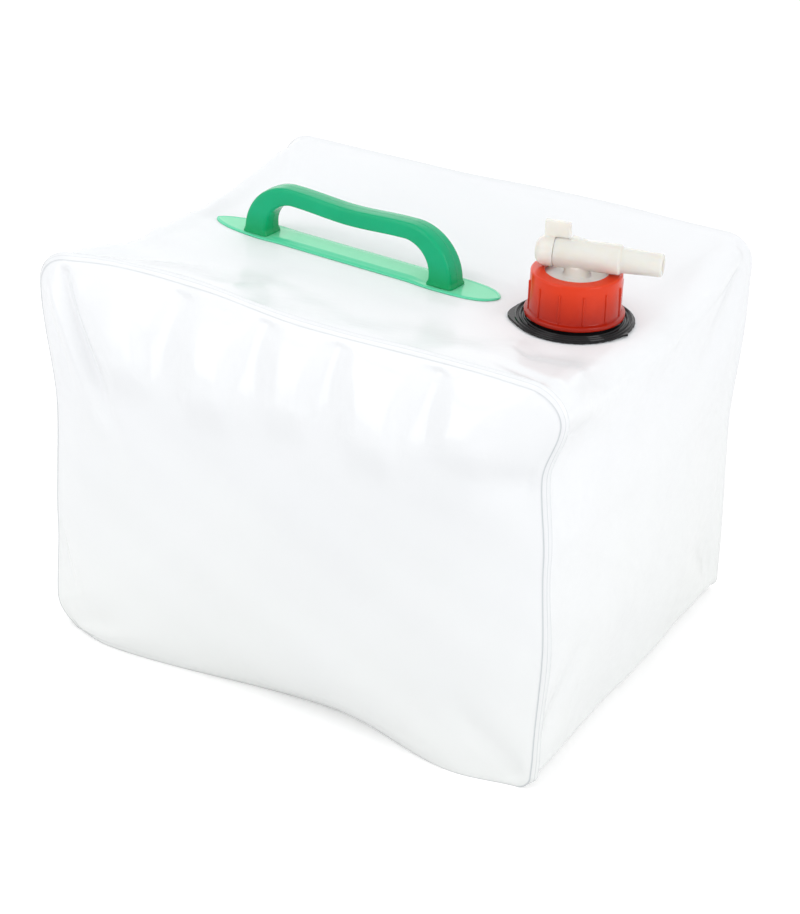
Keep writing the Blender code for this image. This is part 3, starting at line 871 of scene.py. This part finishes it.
def grip_material():
    """Semi-gloss green with painted shade that darkens it at the feet, and a parting line where the mould's
    halves met.
    """
    made, tree, shader = plastic(
        "grip_green",
        (0.006, 0.42, 0.19),
        0.19,
        IOR=1.5,
        Specular_IOR_Level=0.22,
        Subsurface_Weight=0.12,
        Subsurface_Radius=(0.2, 1.0, 0.6),
        Subsurface_Scale=0.002,
    )
    group = add_handling(tree, shader, Roughness=0.19, Cloud_Size=60.0, Peel_Size=700.0, Peel_Height=0.00003)
    place = node(tree, "ShaderNodeTexCoord", (-1400, 0))
    straight = node(tree, "ShaderNodeMapping", (-1200, 0))
    straight.inputs["Location"].default_value = (
        -handle_x * math.cos(handle_turn),
        handle_x * math.sin(handle_turn),
        0,
    )
    straight.inputs["Rotation"].default_value = (0.0, 0.0, -handle_turn)
    split = node(tree, "ShaderNodeSeparateXYZ", (-1000, 0))
    shift = node(tree, "ShaderNodeMath", (-900, 0), operation="SUBTRACT")
    shift.inputs[1].default_value = handle_shift
    off = node(tree, "ShaderNodeMath", (-800, 0), operation="ABSOLUTE")
    line = node(
        tree, "ShaderNodeMapRange", (-600, 0), From_Min=0.0002, From_Max=0.0005, To_Min=1.0, To_Max=0.0
    )
    ridge = node(tree, "ShaderNodeBump", (-300, -200), Strength=0.8, Distance=0.0003)
    tint = tint_ramp(tree, (-500, 300), (0.002, 0.37, 0.160), (0.006, 0.44, 0.205))
    wire(
        tree,
        (place, "Object", straight, "Vector"),
        (straight, "Vector", split, "Vector"),
        (split, "Y", shift, 0),
        (shift, "Value", off, 0),
        (off, "Value", line, "Value"),
        (line, "Result", ridge, "Height"),
        (group, "Normal", ridge, "Normal"),
        (ridge, "Normal", shader, "Normal"),
    )
    # Painted shade: the green is mixed darker near the feet, where the grip stands on the bag.
    foot = node(tree, "ShaderNodeMapRange", (-600, 500), To_Min=0.8, To_Max=0.0)
    foot.inputs["From Min"].default_value = grip_foot + foot_shade_start
    foot.inputs["From Max"].default_value = grip_foot + foot_shade_end
    painted_shade = node(tree, "ShaderNodeMix", (-250, 300), data_type="RGBA")
    painted_shade.inputs["B"].default_value = (0.0005, 0.33, 0.100, 1)
    wire(
        tree,
        (split, "Z", foot, "Value"),
        (foot, "Result", painted_shade, "Factor"),
        (group, "Cloud", tint, "Fac"),
        (tint, "Color", painted_shade, "A"),
        (painted_shade, "Result", shader, "Base Color"),
    )
    return made


grip = placed("carrying_grip", grip_mesh())
grip.data.materials.append(grip_material())
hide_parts("handle_grip")
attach(grip, "bag_top")


# Filler neck. One black moulding: a thin flange with round ridges, which is welded to the film and
# trimmed by hand, so that its rim has a lobe and a ragged edge, then a collar and a threaded tube.
neck_low, neck_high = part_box("filler_neck")
flange_base = seat_level + film_gap
flange_radius = (neck_high.x - neck_low.x) / 2
flange_ply = 0.0015
flange_ridge = 0.0009
neck_bore = 0.0200
neck_radius = 0.0222
collar_radius = 0.0262
collar_height = 0.0026
flange_top = flange_base + flange_ply
collar_top = flange_top + collar_height
thread_pitch = 0.004
thread_turns = 1.75
thread_depth = 0.0012
thread_below_rim = 0.004
thread_sink = 0.0002
thread_foot_width = 0.0020
thread_crest_width = 0.0009
turn_steps = 144
turned_sharp_angle = math.radians(38)
merge_distance = 0.000005
most_cut = 0.45
neck_edge = 0.0002
neck_bevel = 0.0005
rim_edge = 0.0004
collar_edge = 0.0004
collar_foot = 0.0006
ridge_radii = (0.0338, 0.0313, 0.0286)
ridge_half_width = 0.0008
ridge_foot = 0.0012
ridge_groove = 0.0002
ridge_steps = 8
# Each swell round the rim: its height, its middle angle, and its spread. The lobe and the tag stand
# out by theirs, and the rough side deepens the nicks by its share.
rim_lobe = (0.0030, math.radians(205), 0.30)
rim_tag = (0.0016, math.radians(352), 0.05)
rim_rough_side = (0.7, math.radians(330), 0.9)
rim_least_rough = 0.3
# The rim's nicks: how deep they are, how many go round the rim, and the beat that they fade with.
nick_depth = 0.00022
nick_count = 31
nick_beat = 7
small_nick_depth = 0.00018
small_nick_count = 53


def lathed(profile, steps, centre=(0.0, 0.0), rim=None):
    """A closed profile of (radius, height) points turned about an upright axis, as a bmesh. The rim,
    if given, changes the radius by angle and by the point's number in the profile."""
    bm = bmesh.new()
    columns = []
    for step in range(steps):
        turn = math.tau * step / steps
        column = []
        for number, (radius, height) in enumerate(profile):
            full = radius + (rim(turn, number) if rim else 0.0)
            place = (centre[0] + full * math.cos(turn), centre[1] + full * math.sin(turn), height)
            column.append(bm.verts.new(place))
        columns.append(column)
    for near, far in zip(columns, columns[1:] + columns[:1]):
        for number in range(len(profile)):
            following = (number + 1) % len(profile)
            bm.faces.new((near[number], far[number], far[following], near[following]))
    bmesh.ops.remove_doubles(bm, verts=bm.verts, dist=merge_distance)
    bmesh.ops.recalc_face_normals(bm, faces=bm.faces)
    return bm


def turned_mesh(name, profile, rim=None):
    """A closed solid of revolution about the closure's axis."""
    return smooth_mesh(name, lathed(profile, turn_steps, (closure_x, closure_y), rim), turned_sharp_angle)


def rounded(profile, radius, steps=3):
    """The same closed profile with each of its corners cut to an arc of that radius at most."""
    soft = []
    count = len(profile)
    for index in range(count):
        here = Vector(profile[index])
        before = Vector(profile[index - 1]) - here
        after = Vector(profile[(index + 1) % count]) - here
        cut = min(radius, before.length * most_cut, after.length * most_cut)
        start = here + before.normalized() * cut
        end = here + after.normalized() * cut
        for step in range(steps + 1):
            share = step / steps
            bend = start.lerp(here, share).lerp(here.lerp(end, share), share)
            soft.append((bend.x, bend.y))
    return soft


def swell(turn, height, middle, spread):
    """A smooth rise round one angle of the rim."""
    return height * math.exp(-((math.remainder(turn - middle, math.tau) / spread) ** 2))


def ragged_rim(turn, number):
    """How far the hand-trimmed rim stands out: a lobe on the left, nicks, and a tag on the right."""
    if number not in flange_rim_numbers:
        return 0.0
    nicks = nick_depth * math.sin(nick_count * turn) * math.sin(nick_beat * turn + 1)
    nicks += small_nick_depth * math.sin(small_nick_count * turn + 2)
    rough_side = rim_least_rough + swell(turn, *rim_rough_side)
    return swell(turn, *rim_lobe) + swell(turn, *rim_tag) + nicks * rough_side


neck_corners = [
    (neck_bore, neck_high.z),
    (neck_bore, neck_low.z),
    (neck_radius, neck_low.z),
    (neck_radius, flange_base),
]
# The flange's own corner steers the one before it, and is then left to the rim.
neck_profile = rounded(neck_corners + [(flange_radius, flange_base)], neck_edge)
neck_profile = neck_profile[: len(neck_profile) * len(neck_corners) // (len(neck_corners) + 1)]
rim_profile = [
    (flange_radius - neck_bevel, flange_base),
    (flange_radius, flange_base + rim_edge),
    (flange_radius, flange_top - rim_edge),
    (flange_radius - rim_edge, flange_top),
]
flange_rim_numbers = range(len(neck_profile), len(neck_profile) + len(rim_profile))
neck_profile += rim_profile
for ridge_radius in ridge_radii:
    for step in range(ridge_steps + 1):
        across = -1 + 2 * step / ridge_steps
        crest = flange_top + flange_ridge * (1 - across**2)
        neck_profile.append((ridge_radius - ridge_half_width * across, crest))
    neck_profile.append((ridge_radius - ridge_foot, flange_top - ridge_groove))
neck_profile += [
    (collar_radius + collar_foot, flange_top),
    (collar_radius, flange_top + collar_foot),
    (collar_radius, collar_top - collar_edge),
    (collar_radius - collar_edge, collar_top),
    (neck_radius, collar_top),
    (neck_radius, neck_high.z - neck_bevel),
    (neck_radius - neck_bevel, neck_high.z),
]
neck = placed("welded_neck", turned_mesh("welded_neck", neck_profile, ragged_rim))


def finish_on_axis(tree, enter, shape, shape_output, height, height_output):
    """Ends a tree: new geometry stands at its height on an axis, joins the piece and is painted."""
    shift = node(tree, "ShaderNodeCombineXYZ", (-400, -500))
    add = node(tree, "ShaderNodeVectorMath", (-250, -400), operation="ADD")
    place = node(tree, "GeometryNodeTransform", (-100, 0))
    join = node(tree, "GeometryNodeJoinGeometry", (200, 0))
    real = node(tree, "GeometryNodeRealizeInstances", (400, 0))
    paint = node(tree, "GeometryNodeSetMaterial", (600, 0))
    leave = node(tree, "NodeGroupOutput", (900, 0))
    wire(
        tree,
        (height, height_output, shift, "Z"),
        (shift, "Vector", add, 0),
        (enter, "Axis Place", add, 1),
        (add, "Vector", place, "Translation"),
        (shape, shape_output, place, "Geometry"),
        (place, "Geometry", join, "Geometry"),
        (enter, "Geometry", join, "Geometry"),
        (join, "Geometry", real, "Geometry"),
        (real, "Geometry", paint, "Geometry"),
        (enter, "Finish", paint, "Material"),
        (paint, "Geometry", leave, "Geometry"),
    )


def thread_tree():
    """Geometry nodes: a ridge of trapezoid section that climbs round the closure's axis."""
    tree = bpy.data.node_groups.new("screw thread", "GeometryNodeTree")
    tree_sockets(tree, "INPUT", "Geometry", "Geometry")
    tree_sockets(tree, "INPUT", "Float", "Root Radius", "Crest Depth", "Pitch", "Turns", "Start Height")
    tree_sockets(tree, "INPUT", "Vector", "Axis Place")
    tree_sockets(tree, "INPUT", "Material", "Finish")
    tree_sockets(tree, "OUTPUT", "Geometry", "Geometry")
    enter = node(tree, "NodeGroupInput", (-1200, 0))
    rise = node(tree, "ShaderNodeMath", (-1000, -200), operation="MULTIPLY")
    spiral = node(tree, "GeometryNodeCurveSpiral", (-800, 100), Resolution=64)
    upright = node(tree, "GeometryNodeSetCurveNormal", (-600, 100), mode="Z_UP")
    section = node(tree, "GeometryNodeCurvePrimitiveQuadrilateral", (-800, -300), mode="TRAPEZOID")
    section.inputs["Bottom Width"].default_value = thread_foot_width
    section.inputs["Top Width"].default_value = thread_crest_width
    section.inputs["Offset"].default_value = 0.0
    turn_section = node(tree, "GeometryNodeTransform", (-600, -300))
    turn_section.inputs["Rotation"].default_value = (0.0, 0.0, math.radians(90))
    sweep = node(tree, "GeometryNodeCurveToMesh", (-400, 0), Fill_Caps=True)
    wire(
        tree,
        (enter, "Pitch", rise, 0),
        (enter, "Turns", rise, 1),
        (enter, "Turns", spiral, "Rotations"),
        (enter, "Root Radius", spiral, "Start Radius"),
        (enter, "Root Radius", spiral, "End Radius"),
        (rise, "Value", spiral, "Height"),
        (enter, "Crest Depth", section, "Height"),
        (spiral, "Curve", upright, "Curve"),
        (upright, "Curve", sweep, "Curve"),
        (section, "Curve", turn_section, "Geometry"),
        (turn_section, "Geometry", sweep, "Profile Curve"),
    )
    finish_on_axis(tree, enter, sweep, "Mesh", enter, "Start Height")
    return tree


def settle(piece):
    """Keeps what a piece's modifiers make as its plain mesh."""
    bpy.context.view_layer.update()
    view = bpy.context.evaluated_depsgraph_get()
    mesh = bpy.data.meshes.new_from_object(piece.evaluated_get(view))
    piece.modifiers.clear()
    mesh.name = piece.name
    piece.data = mesh


def grow(piece, tree, **values):
    """Runs a tree of geometry nodes on a piece with these inputs, and keeps the result as its mesh."""
    modifier = piece.modifiers.new(tree.name, "NODES")
    modifier.node_group = tree
    for item in tree.interface.items_tree:
        name = item.name.replace(" ", "_")
        if item.in_out == "INPUT" and name in values:
            modifier[item.identifier] = values[name]
    settle(piece)


screw_thread = thread_tree()


def add_thread(piece, root_radius, start_height, finish):
    """Grows the closure's screw thread on a piece, sunk a little into its wall."""
    grow(
        piece,
        screw_thread,
        Root_Radius=root_radius,
        Crest_Depth=thread_depth + 2 * thread_sink,
        Pitch=thread_pitch,
        Turns=thread_turns,
        Start_Height=start_height,
        Axis_Place=(closure_x, closure_y, 0.0),
        Finish=finish,
    )


def neck_material():
    """Glossy black plastic, a little uneven in its shade."""
    made, tree, shader = plastic("neck_black", (0.010, 0.010, 0.012), 0.2, IOR=1.5, Specular_IOR_Level=0.2)
    group = add_handling(tree, shader, Roughness=0.08, Cloud_Size=90.0, Peel_Size=350.0, Peel_Height=0.00006)
    tint = tint_ramp(tree, (-500, 300), (0.006, 0.006, 0.007), (0.014, 0.013, 0.014))
    wire(tree, (group, "Cloud", tint, "Fac"), (tint, "Color", shader, "Base Color"))
    return made


neck_black = neck_material()
neck.data.materials.append(neck_black)
thread_start = neck_high.z - thread_below_rim - thread_pitch * thread_turns
add_thread(neck, neck_radius + thread_depth / 2 - thread_sink, thread_start, neck_black)
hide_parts("filler_neck")
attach(neck, "bag_top")


# Sealing washer. A flat ring of soft white rubber lies between the tap's disc and the neck's rim.
# The ring covers it all round, so it doesn't show.
washer_low, washer_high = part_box("tap_gasket")
washer_radius = (washer_high.x - washer_low.x) / 2
washer_hole = 0.0175
washer_edge = 0.0003
washer_profile = rounded(
    [
        (washer_hole, washer_low.z),
        (washer_radius, washer_low.z),
        (washer_radius, washer_high.z),
        (washer_hole, washer_high.z),
    ],
    washer_edge,
)
washer = placed("sealing_washer", turned_mesh("sealing_washer", washer_profile))
washer_white, washer_tree, washer_shader = plastic("washer_white", (0.80, 0.80, 0.77), 0.5)
add_handling(washer_tree, washer_shader, Roughness=0.5, Cloud_Size=80.0, Peel_Size=1200.0)
washer.data.materials.append(washer_white)
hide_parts("tap_gasket")
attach(washer, "closure_seal")


# Screwed ring. A red-orange cap with an open top, a bead round its foot, thin grip ribs that stop
# short of the top, and a thread inside. It is moulded in a glossy plastic that lets a little light in.
ring_low, ring_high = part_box("cap_ring")
ring_radius = 0.0270
ring_top_radius = 0.0266
ring_bead_radius = (ring_high.x - ring_low.x) / 2
ring_bead = 0.0025
ring_bore = 0.0239
ring_hole = 0.0183
ring_lid = 0.0025
rib_count = 12
rib_width = 0.0012
rib_height = 0.0006
rib_top_margin = 0.006
first_rib_angle = math.radians(-54)
rib_sink = 0.0003
rib_sides = 14
ring_edge = 0.0006
ring_edge_steps = 5
ring_bead_slope = 0.0006
ring_top_bevel = 0.0008
ring_profile = rounded(
    [
        (ring_bore, ring_low.z),
        (ring_bead_radius, ring_low.z),
        (ring_bead_radius, ring_low.z + ring_bead),
        (ring_radius, ring_low.z + ring_bead + ring_bead_slope),
        (ring_top_radius, ring_high.z - ring_top_bevel),
        (ring_top_radius - ring_top_bevel, ring_high.z),
        (ring_hole, ring_high.z),
        (ring_hole, ring_high.z - ring_lid),
        (ring_bore, ring_high.z - ring_lid),
    ],
    ring_edge,
    ring_edge_steps,
)
ring = placed("screwed_ring", turned_mesh("screwed_ring", ring_profile))


def rib_tree():
    """Geometry nodes: upright ribs with round faces, evenly spaced round the closure's axis."""
    tree = bpy.data.node_groups.new("grip ribs", "GeometryNodeTree")
    tree_sockets(tree, "INPUT", "Geometry", "Geometry")
    tree_sockets(tree, "INPUT", "Int", "Count")
    tree_sockets(tree, "INPUT", "Float", "Radius", "First Angle", "Foot", "Length")
    tree_sockets(tree, "INPUT", "Vector", "Section", "Axis Place")
    tree_sockets(tree, "INPUT", "Material", "Finish")
    tree_sockets(tree, "OUTPUT", "Geometry", "Geometry")
    enter = node(tree, "NodeGroupInput", (-1400, 0))
    circle = node(tree, "GeometryNodeMeshCircle", (-1000, 200))
    number = node(tree, "GeometryNodeInputIndex", (-1200, -400))
    step = node(tree, "ShaderNodeMath", (-1000, -300), operation="DIVIDE")
    turn = node(tree, "ShaderNodeMath", (-800, -300), operation="MULTIPLY_ADD")
    turn.inputs[1].default_value = math.tau
    spin = node(tree, "ShaderNodeCombineXYZ", (-600, -300))
    start = node(tree, "ShaderNodeCombineXYZ", (-800, 400))
    spun = node(tree, "GeometryNodeTransform", (-600, 200))
    rib = node(tree, "GeometryNodeMeshCylinder", (-1000, -700), Vertices=rib_sides, Radius=1.0, Depth=1.0)
    rib_size = node(tree, "GeometryNodeTransform", (-700, -700))
    set_on = node(tree, "GeometryNodeInstanceOnPoints", (-300, 0))
    half = node(tree, "ShaderNodeMath", (-600, 500), operation="MULTIPLY_ADD")
    half.inputs[1].default_value = 0.5
    wire(
        tree,
        (enter, "Count", circle, "Vertices"),
        (enter, "Radius", circle, "Radius"),
        (enter, "First Angle", start, "Z"),
        (circle, "Mesh", spun, "Geometry"),
        (start, "Vector", spun, "Rotation"),
        (number, "Index", step, 0),
        (enter, "Count", step, 1),
        (step, "Value", turn, 0),
        (enter, "First Angle", turn, 2),
        (turn, "Value", spin, "Z"),
        (rib, "Mesh", rib_size, "Geometry"),
        (enter, "Section", rib_size, "Scale"),
        (spun, "Geometry", set_on, "Points"),
        (rib_size, "Geometry", set_on, "Instance"),
        (spin, "Vector", set_on, "Rotation"),
        (enter, "Length", half, 0),
        (enter, "Foot", half, 2),
    )
    finish_on_axis(tree, enter, set_on, "Instances", half, "Value")
    return tree


def ring_material():
    """Glossy red-orange plastic with painted shade: darker towards its foot and lighter near the top."""
    made, tree, shader = plastic(
        "ring_red",
        (0.70, 0.03, 0.006),
        0.19,
        IOR=1.5,
        Specular_IOR_Level=0.26,
        Subsurface_Weight=0.05,
        Subsurface_Radius=(1.0, 0.25, 0.1),
        Subsurface_Scale=0.003,
    )
    group = add_handling(tree, shader, Roughness=0.18, Cloud_Size=70.0, Peel_Size=500.0, Peel_Height=0.00004)
    place = node(tree, "ShaderNodeTexCoord", (-1400, 200))
    split = node(tree, "ShaderNodeSeparateXYZ", (-1200, 200))
    # Painted shade: the colour darkens from the top down to the foot, stirred a little by the cloudy spots.
    rise = node(tree, "ShaderNodeMapRange", (-1000, 200), From_Min=ring_low.z, From_Max=ring_high.z)
    stir = node(tree, "ShaderNodeMath", (-800, 200), operation="MULTIPLY_ADD")
    stir.inputs[1].default_value = 0.35
    tint = tint_ramp(tree, (-600, 200), (0.36, 0.010, 0.001), (0.70, 0.040, 0.006), 0.25, 1.0)
    wire(
        tree,
        (place, "Object", split, "Vector"),
        (split, "Z", rise, "Value"),
        (group, "Cloud", stir, 0),
        (rise, "Result", stir, 2),
        (stir, "Value", tint, "Fac"),
        (tint, "Color", shader, "Base Color"),
    )
    return made


ring_red = ring_material()
ring.data.materials.append(ring_red)
rib_foot = ring_low.z + ring_bead / 2
rib_length = ring_high.z - rib_top_margin - rib_foot
grow(
    ring,
    rib_tree(),
    Count=rib_count,
    Radius=ring_radius - rib_sink,
    First_Angle=first_rib_angle,
    Foot=rib_foot,
    Length=rib_length,
    Section=(rib_height + rib_sink, rib_width / 2, rib_length),
    Axis_Place=(closure_x, closure_y, 0.0),
    Finish=ring_red,
)
add_thread(ring, ring_bore - thread_depth / 2 + thread_sink, thread_start - thread_pitch / 2, ring_red)
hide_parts("cap_ring")
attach(ring, "cap")


# Tap body. One moulding of ivory plastic that lets some light through: a disc that the ring clamps,
# with a spigot below it, a short stub, and the barrel with its stepped nozzle.
plug_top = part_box("tap_plug")[1].z
tap_turn = math.radians(14)
tap_level = 0.2757
tap_place = Matrix.Translation((closure_x, closure_y, tap_level)) @ Matrix.Rotation(tap_turn, 4, "Z")
disc_ply = 0.0022
disc_low = ring_high.z - ring_lid - film_gap - disc_ply
disc_high = ring_high.z - ring_lid - film_gap
disc_radius = washer_radius
spigot_radius = washer_hole - film_gap
spigot_wall = 0.0015
spigot_length = 0.004
stub_radius = 0.0075
stub_overlap = 0.0004
stub_foot = 0.0006
stub_foot_low = 0.0002
stub_foot_high = 0.0010
stub_sink = 0.0062
stub_top = tap_level - stub_sink
channel_radius = 0.0042
barrel_radius = 0.0088
barrel_back = 0.0134
barrel_front = 0.0252
nozzle_tip = 0.0493
nozzle_base_radius = 0.0075
nozzle_tip_radius = 0.0067
nozzle_bore = 0.0044
barrel_back_bevel = 0.0004
barrel_front_bevel = 0.0006
nozzle_bevel = 0.0008
plug_seat = 0.0056
plug_seat_reach = 0.0125
voxel = 0.00045
tap_steps = 96


def solid(profile, lying=False):
    """A turned solid as a bmesh, upright at the closure's axis, or lying along the tap's barrel."""
    bm = lathed(profile, tap_steps)
    if lying:
        bm.transform(tap_place @ Matrix.Rotation(math.radians(90), 4, "Y"))
    else:
        bm.transform(Matrix.Translation((closure_x, closure_y, 0.0)))
    return bm


def moulding(name, solids, smoothing=6):
    """Melts overlapping solids into one body with small fillets where they meet."""
    joined = bpy.data.meshes.new(name)
    everything = bmesh.new()
    for one in solids:
        part = bpy.data.meshes.new(name + "_solid")
        one.to_mesh(part)
        one.free()
        everything.from_mesh(part)
        bpy.data.meshes.remove(part)
    everything.to_mesh(joined)
    everything.free()
    piece = placed(name, joined)
    melt = piece.modifiers.new("melt together", "REMESH")
    melt.mode = "VOXEL"
    melt.voxel_size = voxel
    relax = piece.modifiers.new("relax", "SMOOTH")
    relax.factor = 0.5
    relax.iterations = smoothing
    settle(piece)
    piece.data.shade_smooth()
    return piece


clamped_disc = solid(
    [
        (channel_radius, disc_high),
        (channel_radius, disc_low),
        (spigot_radius - spigot_wall, disc_low),
        (spigot_radius - spigot_wall, disc_low - spigot_length),
        (spigot_radius, disc_low - spigot_length),
        (spigot_radius, disc_low),
        (disc_radius, disc_low),
        (disc_radius, disc_high),
    ]
)
stub_solid = solid(
    [
        (channel_radius, disc_low + stub_overlap),
        (stub_radius + stub_foot, disc_low + stub_overlap),
        (stub_radius + stub_foot, disc_high + stub_foot_low),
        (stub_radius, disc_high + stub_foot_high),
        (stub_radius, stub_top),
        (channel_radius, stub_top),
    ]
)
barrel_solid = solid(
    [
        (plug_seat, -barrel_back),
        (barrel_radius - barrel_back_bevel, -barrel_back),
        (barrel_radius, -barrel_back + barrel_back_bevel),
        (barrel_radius, barrel_front - barrel_front_bevel),
        (barrel_radius - barrel_front_bevel, barrel_front),
        (nozzle_base_radius, barrel_front),
        (nozzle_tip_radius, nozzle_tip - nozzle_bevel),
        (nozzle_tip_radius - nozzle_bevel, nozzle_tip),
        (nozzle_bore, nozzle_tip),
        (nozzle_bore, plug_seat_reach),
        (plug_seat, plug_seat_reach),
    ],
    lying=True,
)


def tap_block(back, front, low, high, width, slope=0.0):
    """A small block on the tap, with its places along the barrel, up from its axis and across."""
    bm = bmesh.new()
    corners = [(back, low), (front, low), (front, high - slope), (back, high)]
    sides = []
    for y in (-width / 2, width / 2):
        sides.append([bm.verts.new((x, y, z)) for x, z in corners])
    bm.faces.new(sides[0])
    bm.faces.new(sides[1])
    for index in range(len(corners)):
        following = (index + 1) % len(corners)
        bm.faces.new((sides[0][index], sides[0][following], sides[1][following], sides[1][index]))
    bmesh.ops.recalc_face_normals(bm, faces=bm.faces)
    bm.transform(tap_place)
    return bm


lever_stop = tap_block(back=-0.0040, front=0.0042, low=0.0075, high=0.0108, width=0.0042, slope=0.0016)
tap = moulding("dispensing_tap", [clamped_disc, stub_solid, barrel_solid, lever_stop])


def ivory_material():
    """Unpainted ivory plastic. Light goes a little way in, so its thin edges glow."""
    made, tree, shader = plastic(
        "tap_ivory",
        (0.92, 0.91, 0.86),
        0.19,
        IOR=1.48,
        Transmission_Weight=0.2,
        Subsurface_Weight=0.6,
        Subsurface_Radius=(1.0, 0.8, 0.6),
        Subsurface_Scale=0.004,
    )
    group = add_handling(tree, shader, Roughness=0.19, Cloud_Size=55.0, Peel_Size=650.0, Peel_Height=0.00004)
    tint = tint_ramp(tree, (-500, 300), (0.86, 0.835, 0.765), (0.92, 0.905, 0.855), 0.3, 0.7)
    wire(
        tree,
        (group, "Cloud", tint, "Fac"),
        (tint, "Color", shader, "Base Color"),
    )
    return made


tap_ivory = ivory_material()
tap.data.materials.clear()
tap.data.materials.append(tap_ivory)
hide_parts("tap_body")
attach(tap, "tap")


# Tap plug. A second ivory moulding turns inside the barrel: a domed head closes the barrel's back
# end, a lever tab stands on it, and a hollow shaft goes down the bore.
shaft_radius = 0.0055
head_gap = 0.0001
head_front = -barrel_back - head_gap
head_length = 0.0111
head_dome = 0.0055
head_bevel = 0.0003
dome_steps = 8
shaft_start = -0.0045
shaft_end = 0.0117
shaft_bore = 0.0036
lever_back = 0.0199
lever_length = 0.0151
lever_reach = plug_top - tap_level
lever_thickness = 0.0032
lever_clear = 0.0005
lever_root_low = 0.003
lever_slope = 0.0006
head_profile = [
    (0.0, shaft_start),
    (shaft_bore, shaft_start),
    (shaft_bore, shaft_end),
    (shaft_radius, shaft_end),
    (shaft_radius, head_front),
    (barrel_radius - head_bevel, head_front),
    (barrel_radius, head_front - head_bevel),
]
for step in range(dome_steps + 1):
    swing = math.radians(90) * (1 - step / dome_steps)
    round_radius = barrel_radius - head_dome + head_dome * math.sin(swing)
    head_profile.append((round_radius, head_front - head_length + head_dome * (1 - math.cos(swing))))
head_profile.append((0.0, head_front - head_length))
head_solid = solid(head_profile, lying=True)
lever_root = tap_block(-lever_back, head_front - film_gap, lever_root_low, lever_reach, lever_thickness)
lever_tab = tap_block(
    -lever_back,
    lever_length - lever_back,
    barrel_radius + lever_clear,
    lever_reach,
    lever_thickness,
    lever_slope,
)
plug = moulding("tap_lever_plug", [head_solid, lever_root, lever_tab], smoothing=5)
plug.data.materials.clear()
plug.data.materials.append(tap_ivory)
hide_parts("tap_plug")
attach(plug, "lever_plug")


# Studio. The bag stands on a white floor. A large soft lamp stands low at the front left, where the
# swollen front panel mirrors it, with one above it, one at the right, and one behind for a sheen on top.
floor_size = 14.0
floor_glow = 0.28
floor_mesh = bpy.data.meshes.new("studio_floor")
floor_corners = [(x * floor_size, y * floor_size, 0) for x, y in ((-1, -1), (1, -1), (1, 1), (-1, 1))]
floor_mesh.from_pydata(floor_corners, [], [(0, 1, 2, 3)])
floor = placed("studio_floor", floor_mesh)


def shown_mask(tree):
    """Nodes whose value is 1 where the camera sees a surface itself, mirrored or through film."""
    ray = node(tree, "ShaderNodeLightPath", (-800, -200))
    seen = node(tree, "ShaderNodeMath", (-600, -200), operation="MAXIMUM")
    shown = node(tree, "ShaderNodeMath", (-450, -200), operation="MAXIMUM")
    wire(
        tree,
        (ray, "Is Camera Ray", seen, 0),
        (ray, "Is Glossy Ray", seen, 1),
        (seen, "Value", shown, 0),
        (ray, "Is Transmission Ray", shown, 1),
    )
    return shown


floor_white, floor_tree, floor_shader = plastic(
    "floor_white", (0.80, 0.80, 0.80), 0.9, Specular_IOR_Level=0.0, Emission_Color=(1, 1, 1, 1)
)
glow = node(floor_tree, "ShaderNodeMath", (-100, -200), operation="MULTIPLY")
glow.inputs[1].default_value = floor_glow
floor_shown = shown_mask(floor_tree)
wire(floor_tree, (floor_shown, "Value", glow, 0), (glow, "Value", floor_shader, "Emission Strength"))
floor.data.materials.append(floor_white)

world = bpy.data.worlds.new("studio")
bpy.context.scene.world = world
world.use_nodes = True
sky_tree = world.node_tree
sky = sky_tree.nodes["Background"]
sky.inputs["Color"].default_value = (1, 1, 1, 1)
sky_level = node(sky_tree, "ShaderNodeMapRange", (-250, 0), To_Min=0.79, To_Max=1.0)
sky_shown = shown_mask(sky_tree)
wire(sky_tree, (sky_shown, "Value", sky_level, "Value"), (sky_level, "Result", sky, "Strength"))


def soft_lamp(name, place, aim, width, height, watts):
    """A rectangular softbox that looks at a point."""
    lamp = bpy.data.objects.new(name, bpy.data.lights.new(name, "AREA"))
    lamp.data.shape = "RECTANGLE"
    lamp.data.size = width
    lamp.data.size_y = height
    lamp.data.energy = watts
    lamp.location = place
    lamp.rotation_euler = (Vector(aim) - Vector(place)).to_track_quat("-Z", "Y").to_euler()
    bpy.context.scene.collection.objects.link(lamp)


soft_lamp("main_softbox", (-0.75, -1.55, 0.60), (0.0, 0.0, 0.2), 0.75, 1.0, 3.7)
soft_lamp("upper_softbox", (-0.55, -0.75, 1.25), (0.0, 0.0, 0.12), 0.9, 0.7, 3.1)
soft_lamp("right_softbox", (1.35, -0.35, 0.85), (0.1, 0.0, 0.12), 0.6, 0.9, 6.3)
soft_lamp("back_softbox", (-0.7, 1.23, 0.80), (0.0, 0.0, 0.2), 2.2, 1.3, 6.2)
bpy.context.scene.view_settings.view_transform = "Standard"
